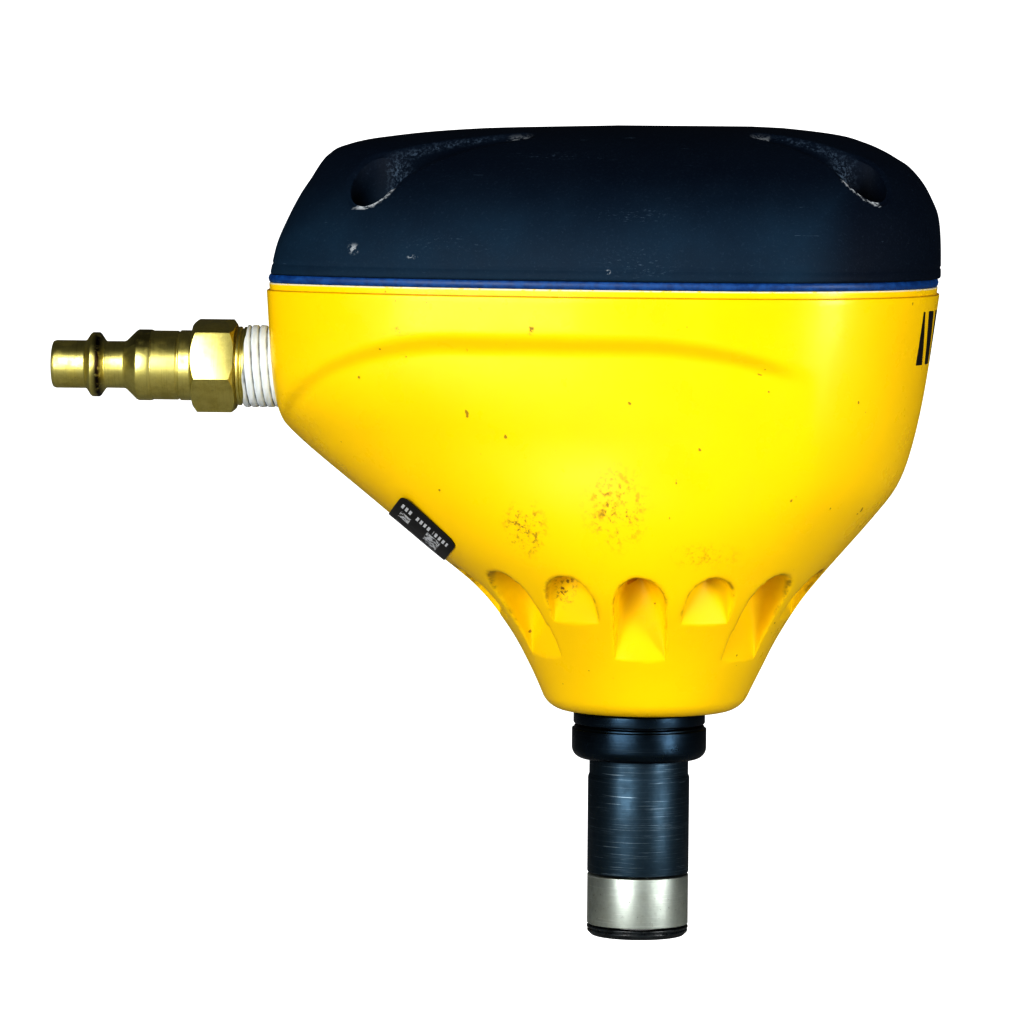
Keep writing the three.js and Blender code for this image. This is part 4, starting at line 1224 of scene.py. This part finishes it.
def makeNose():
    lockLow, lockHigh = boxOf("nose_lock_ring")
    collarLow, collarHigh = boxOf("nose_collar")
    barrelLow, barrelHigh = boxOf("nose_barrel")
    tipLow, tipHigh = boxOf("nose_tip")
    endLow, endHigh = boxOf("nose_end_ring")
    magnetLow, magnetHigh = boxOf("nose_magnet")
    barrel, passage, mouth = noseForm["barrel"], noseForm["passage"], noseForm["mouth"]
    lockInner, inner, neck = noseForm["lockInner"], noseForm["collarInner"], noseForm["neck"]
    foot, rim = collarLow.z + noseForm["collarRise"], collarLow.z + noseForm["collarHeight"]
    collar, bend = noseForm["collar"], noseForm["collarRounding"]
    angles = [pi / 2 * (1 - step / 10) for step in range(11)]
    rounding = [(collar - bend * (1 - cos(a)), foot + bend * (1 - sin(a))) for a in angles]
    relief, slim, shoulder = collarLow.z - 2, barrel - noseForm["relief"], barrelHigh.z - 2.4
    # name, finish, slot, CAD node, rounding of the edges and outline
    pieces = [
        ("lockRing", "blackOxideCollar", "black_oxide_steel", "nose_lock_ring", 0.08, [
            (lockInner, lockLow.z), (11.2, lockLow.z), (11.35, lockLow.z + 0.2), (11.35, lockHigh.z - 0.3),
            (11.1, lockHigh.z), (lockInner, lockHigh.z), (lockInner, lockLow.z)]),
        ("noseCollar", "blackOxideCollar", "black_oxide_steel", "nose_collar", 0.06, [
            (inner, foot + 0.3), (9.3, foot), *rounding, (collar, rim - 0.55), (11.25, rim - 0.42),
            (11.2, rim - 0.1), (10.95, rim), (neck, rim), (neck, collarHigh.z), (inner, collarHigh.z),
            (inner, foot + 0.3)]),
        ("noseBarrel", "blackOxideSteel", "black_oxide_steel", "nose_barrel", 0.05, [
            (passage, barrelLow.z), (barrel - 0.15, barrelLow.z), (barrel, barrelLow.z + 0.15),
            (barrel, relief - 0.7), (barrel - 0.05, relief - 0.45), (slim, relief), (slim, shoulder),
            (neck, shoulder), (neck, barrelHigh.z), (passage, barrelHigh.z), (passage, barrelLow.z)]),
        ("noseTip", "bareSteel", "bare_steel", "nose_tip", 0.05, [
            (mouth, tipLow.z), (barrel - 0.2, tipLow.z), (barrel - 0.03, tipLow.z + 0.15),
            (barrel - 0.03, tipHigh.z - 0.12), (barrel - 0.15, tipHigh.z), (passage, tipHigh.z),
            (passage, tipHigh.z - 1), (mouth, tipHigh.z - 1), (mouth, tipLow.z)]),
        ("noseEndRing", "endRingRubber", "seal_rubber", "nose_end_ring", 0.06, [
            (mouth, endLow.z + 0.2), (mouth + 0.25, endLow.z), (barrel - 0.75, endLow.z),
            (barrel - 0.1, endLow.z + 0.65), (barrel - 0.1, endLow.z + 0.95),
            (barrel - 0.32, endLow.z + 1.02), (barrel - 0.32, endLow.z + 1.15),
            (barrel - 0.02, endLow.z + 1.25), (barrel - 0.02, endHigh.z),
            (mouth, endHigh.z), (mouth, endLow.z + 0.2)]),
        ("noseMagnet", "magnetPlating", "magnet_plating", "nose_magnet", 0.15, [
            (passage, magnetLow.z), (6.3, magnetLow.z), (6.3, magnetHigh.z), (passage, magnetHigh.z),
            (passage, magnetLow.z)]),
    ]
    for name, finish, slot, node, width, outline in pieces:
        piece = turnPiece(name, outline, 96 if name == "noseMagnet" else 128, width)
        smoothShade(piece, 25.0)
        place(piece, finish, slot, node)


makeNose()
print("nose ready")


# hammer

hammerForm = {"rod": 4.75, "skirt": 6.0, "grooveDrop": 5.0, "grooveDepth": 1.8, "grooveHalf": 1.1, "cup": 3.6}


def makeHammer():
    low, high = boxOf("driver_piston")
    rod, piston, cup = hammerForm["rod"], high.x, hammerForm["cup"]
    under = boxOf("bumper")[1].z + clearance + hammerForm["skirt"]
    groove, deep = high.z - hammerForm["grooveDrop"], piston - hammerForm["grooveDepth"]
    half = hammerForm["grooveHalf"]
    hammer = turnPiece("hammerPiston", [
        (0, low.z), (rod - 0.35, low.z), (rod, low.z + 0.35), (rod, under - 1.2), (rod + 0.35, under - 0.35),
        (rod + 1.2, under), (piston - 1, under), (piston, under + 1), (piston, under + 3.5),
        (piston - 0.3, under + 3.7), (piston - 0.3, under + 4.4), (piston, under + 4.6),
        (piston, groove - half), (deep, groove - half), (deep, groove + half), (piston, groove + half),
        (piston, high.z - 1), (piston - 1, high.z), (cup + 0.4, high.z), (cup, high.z - 0.5),
        (cup, high.z - 5), (0, high.z - 6.5),
    ], 96, 0.1)
    smoothShade(hammer, 28.0)
    place(hammer, "bareSteel", "bare_steel", "driver_piston", "driver")


makeHammer()
print("hammer ready")


# air plug

plugForm = {"acrossFlats": 14.29, "clocking": 14.0, "bore": 2.4, "hexFront": 7.1, "hexRear": 14.5,
            "length": 39.0, "hexBevel": 0.12}


def makeAirPlug():
    low, high = boxOf("air_plug")
    face = low.x + plugForm["length"]
    thread = face - high.x  # negative: the thread runs into the body
    bore, rear, front = plugForm["bore"], plugForm["hexRear"], plugForm["hexFront"]
    # pairs of radius and distance from the body's face
    outline = [
        (bore, thread), (6.0, thread), (6.4, thread + 1), (6.4, front - 2.1), (6.75, front - 1.9),
        (6.75, front - 1.45), (6.45, front - 1.3), (6.45, front - 1.0), (6.8, front - 0.85),
        (6.8, front - 0.4), (6.5, front - 0.2), (6.5, front), (6.3, rear), (6.05, rear + 0.35),
        (6.05, rear + 2.2), (5.82, rear + 2.35), (5.82, rear + 2.6), (5.95, rear + 2.75), (5.95, 21.5),
        (6.05, 21.65), (6.12, 21.9), (6.12, 24.0), (5.9, 24.4), (4.25, 26.1), (4.05, 26.5), (4.03, 29.6),
        (4.2, 29.85), (5.35, 30.65), (5.55, 30.9), (5.55, 32.05), (5.3, 32.35), (4.25, 33.05), (4.12, 33.3),
        (4.12, 38.4), (3.95, 38.85), (3.6, 39.0), (bore + 0.35, 39.0), (bore, 38.6), (bore, thread),
    ]
    points = [(radius, face - out) for radius, out in outline]
    body = turnPiece("airPlug", points, 96, 0.05, alongX=inletZ)
    corner = plugForm["acrossFlats"] / sqrt(3)
    deselectAll()
    turn = radians(plugForm["clocking"])
    bpy.ops.mesh.primitive_cylinder_add(vertices=6, radius=corner * mm, depth=(rear - front) * mm)
    hexagon = bpy.context.object
    hexagon.rotation_euler = (0.0, pi / 2, 0.0)
    bpy.ops.object.transform_apply(location=False, rotation=True, scale=False)
    hexagon.rotation_euler = (turn, 0.0, 0.0)
    hexagon.location = ((face - (rear + front) / 2) * mm, 0.0, inletZ * mm)
    bpy.ops.object.transform_apply(location=True, rotation=True, scale=False)
    chamfer = turnPiece("chamferTool", [
        (0, face - rear - 0.1), (corner - 1.25, face - rear - 0.1), (corner + 0.1, face - rear + 0.85),
        (corner + 0.1, face - front - 0.75), (corner - 1.1, face - front + 0.1), (0, face - front + 0.1),
    ], 96, alongX=inletZ)
    combine(hexagon, chamfer, "INTERSECT")
    combine(hexagon, addRod("boreTool", 6.2, (face - rear - 2, 0, inletZ), (face - front + 2, 0, inletZ), 64))
    bevelEdges(hexagon, plugForm["hexBevel"], 2, 25)
    combine(body, hexagon, "UNION")
    cleanMesh(body)

    def sootAndShadeAt(vertex):
        # a dark line on the step 30.2 to 31.0 mm out, and painted shade on the upward-facing side of the band
        # 21.9 to 25.5 mm out
        out = face - vertex.co.x / mm
        if 30.2 < out < 31.0:
            return 1.0
        return 0.5 if 21.9 < out < 25.5 and vertex.normal.z > 0.5 else 0.0

    paintPoints(body, "sootAndShade", sootAndShadeAt)
    smoothShade(body, 28.0)
    place(body, "plugBrass", "plug_brass", "air_plug")


makeAirPlug()
print("air plug ready")


# thread tape

tapeForm = {"pitch": 1.41, "ridge": 0.3, "wrinkle": 0.05, "columns": 128, "rows": 110, "inner": 6.55}


def makeTape():
    low, high = boxOf("thread_tape")
    radius = high.y + 0.06
    length = high.x - low.x
    pitch, ridge = tapeForm["pitch"], tapeForm["ridge"]
    last = tapeForm["rows"]

    def grooveAt(turn, x):
        phase = ((x - low.x) / pitch - turn / (2 * pi) + 0.25 * sin(turn)) % 1.0
        return exp(-((phase - 0.5) / 0.11) ** 2)

    def placeOf(share, row):
        turn = 2 * pi * share
        along = min(1.0, max(0.0, (row - 1) / (last - 3)))
        x = low.x + length * along
        if row in (0, last - 1):
            out = tapeForm["inner"]
        else:
            wave = sin(5 * turn + 3.1 * x) * sin(2.3 * x + 1.7 * sin(3 * turn))
            out = radius - ridge * grooveAt(turn, x) + tapeForm["wrinkle"] * wave
        if row <= 1:
            x += 0.35 * sin(turn + 0.6) + 0.12 * sin(7 * turn)
        y, z = out * cos(turn), out * sin(turn)
        return x, y, inletZ + z

    tape = wrapGrid("threadTape", tapeForm["columns"], last, placeOf, fillEnds=False)

    # painted shade for the sunk thread grooves, darkest at the bottom of each groove
    def grooveShadeAt(vertex):
        x, y, z = vertex.co / mm
        return smoothstep(radius - hypot(y, z - inletZ), ridge * 0.45, ridge * 1.05)

    paintPoints(tape, "groove", grooveShadeAt)
    smoothShade(tape, 70.0)
    place(tape, "threadTape", "thread_tape", "thread_tape")


makeTape()
print("thread tape ready")


# rating label

labelForm = {"along": 48, "across": 96, "length": 12.4, "wrapRise": 2.4, "corner": 1.4, "lift": 0.05,
             "thickness": 0.18}


def makeLabel():
    low, high = boxOf("rating_label")
    halfWidth, length, corner = high.y, labelForm["length"], labelForm["corner"]
    steps, rows = labelForm["along"], labelForm["across"]
    deselectAll()
    bpy.ops.mesh.primitive_grid_add(x_subdivisions=steps, y_subdivisions=rows, size=1.0)
    label = bpy.context.object
    label.name = "ratingLabel"

    def skinAt(z, y):
        section = bodySection(z)
        reach = section["centre"] - section["rear"]
        share = max(0.0, 1 - abs(y / section["half"]) ** section["power"]) ** (1 / section["power"])
        return Vector((section["centre"] - reach * share, y, z))

    middle = skinAt((low.z + high.z) / 2 - labelForm["wrapRise"], 0.0)
    slope = (skinAt(middle.z + 1, 0.0) - skinAt(middle.z - 1, 0.0)).normalized()

    def levelAt(reach, y):
        # the height on the skin that lies this far up the slope
        below, above = middle.z - 18.0, middle.z + 18.0
        for step in range(24):
            level = (below + above) / 2
            if (skinAt(level, y) - middle).dot(slope) < reach:
                below = level
            else:
                above = level
        return level

    for vertex in label.data.vertices:
        row, column = divmod(vertex.index, steps + 1)
        along, across = column / steps * 2 - 1, row / rows * 2 - 1
        y = across * halfWidth
        over = max(0.0, abs(y) - (halfWidth - corner)) / corner
        shorten = corner * (1 - sqrt(max(0.0, 1 - over ** 2)))
        z = levelAt(-along * (length / 2 - shorten), y)
        here = skinAt(z, y)
        normal = (skinAt(z + 0.2, y) - here).cross(skinAt(z, y + 0.2) - here).normalized()
        if normal.x > 0:
            normal.negate()
        vertex.co = (here + normal * labelForm["lift"]) * mm
    makeActive(label)
    enterEdit()
    bpy.ops.mesh.normals_make_consistent(inside=False)
    leaveEdit()
    if label.data.polygons[0].normal.x > 0:
        label.data.flip_normals()
    applyModifier(label, "SOLIDIFY", thickness=labelForm["thickness"] * mm, offset=1.0)
    smoothShade(label, 40.0)
    place(label, "labelVinyl", "label_vinyl", "rating_label")


makeLabel()
print("label ready")


# pieces that keep their own shape

keptFinishes = {
    "castAluminium": ["cap_casting", "valve_seat"],
    "screwSteel": [f"cap_washer_{index}" for index in range(1, 5)],
    "cylinderSteel": ["cylinder"],
    "sealRubber": ["cylinder_seal_lower", "cylinder_seal_upper", "piston_seal", "valve_cushion"],
    "bumperRubber": ["bumper"],
    "bushBronze": ["driver_guide_bush"],
    "whitePolymer": ["valve_plate"],
    "blackPolymer": ["valve_cap"],
    "bareSteel": ["inlet_screen"],
}
for finishName, nodeNames in keptFinishes.items():
    for nodeName in nodeNames:
        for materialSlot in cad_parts[nodeName].material_slots:
            materialSlot.material = finishes[finishName]
print("inner pieces finished")
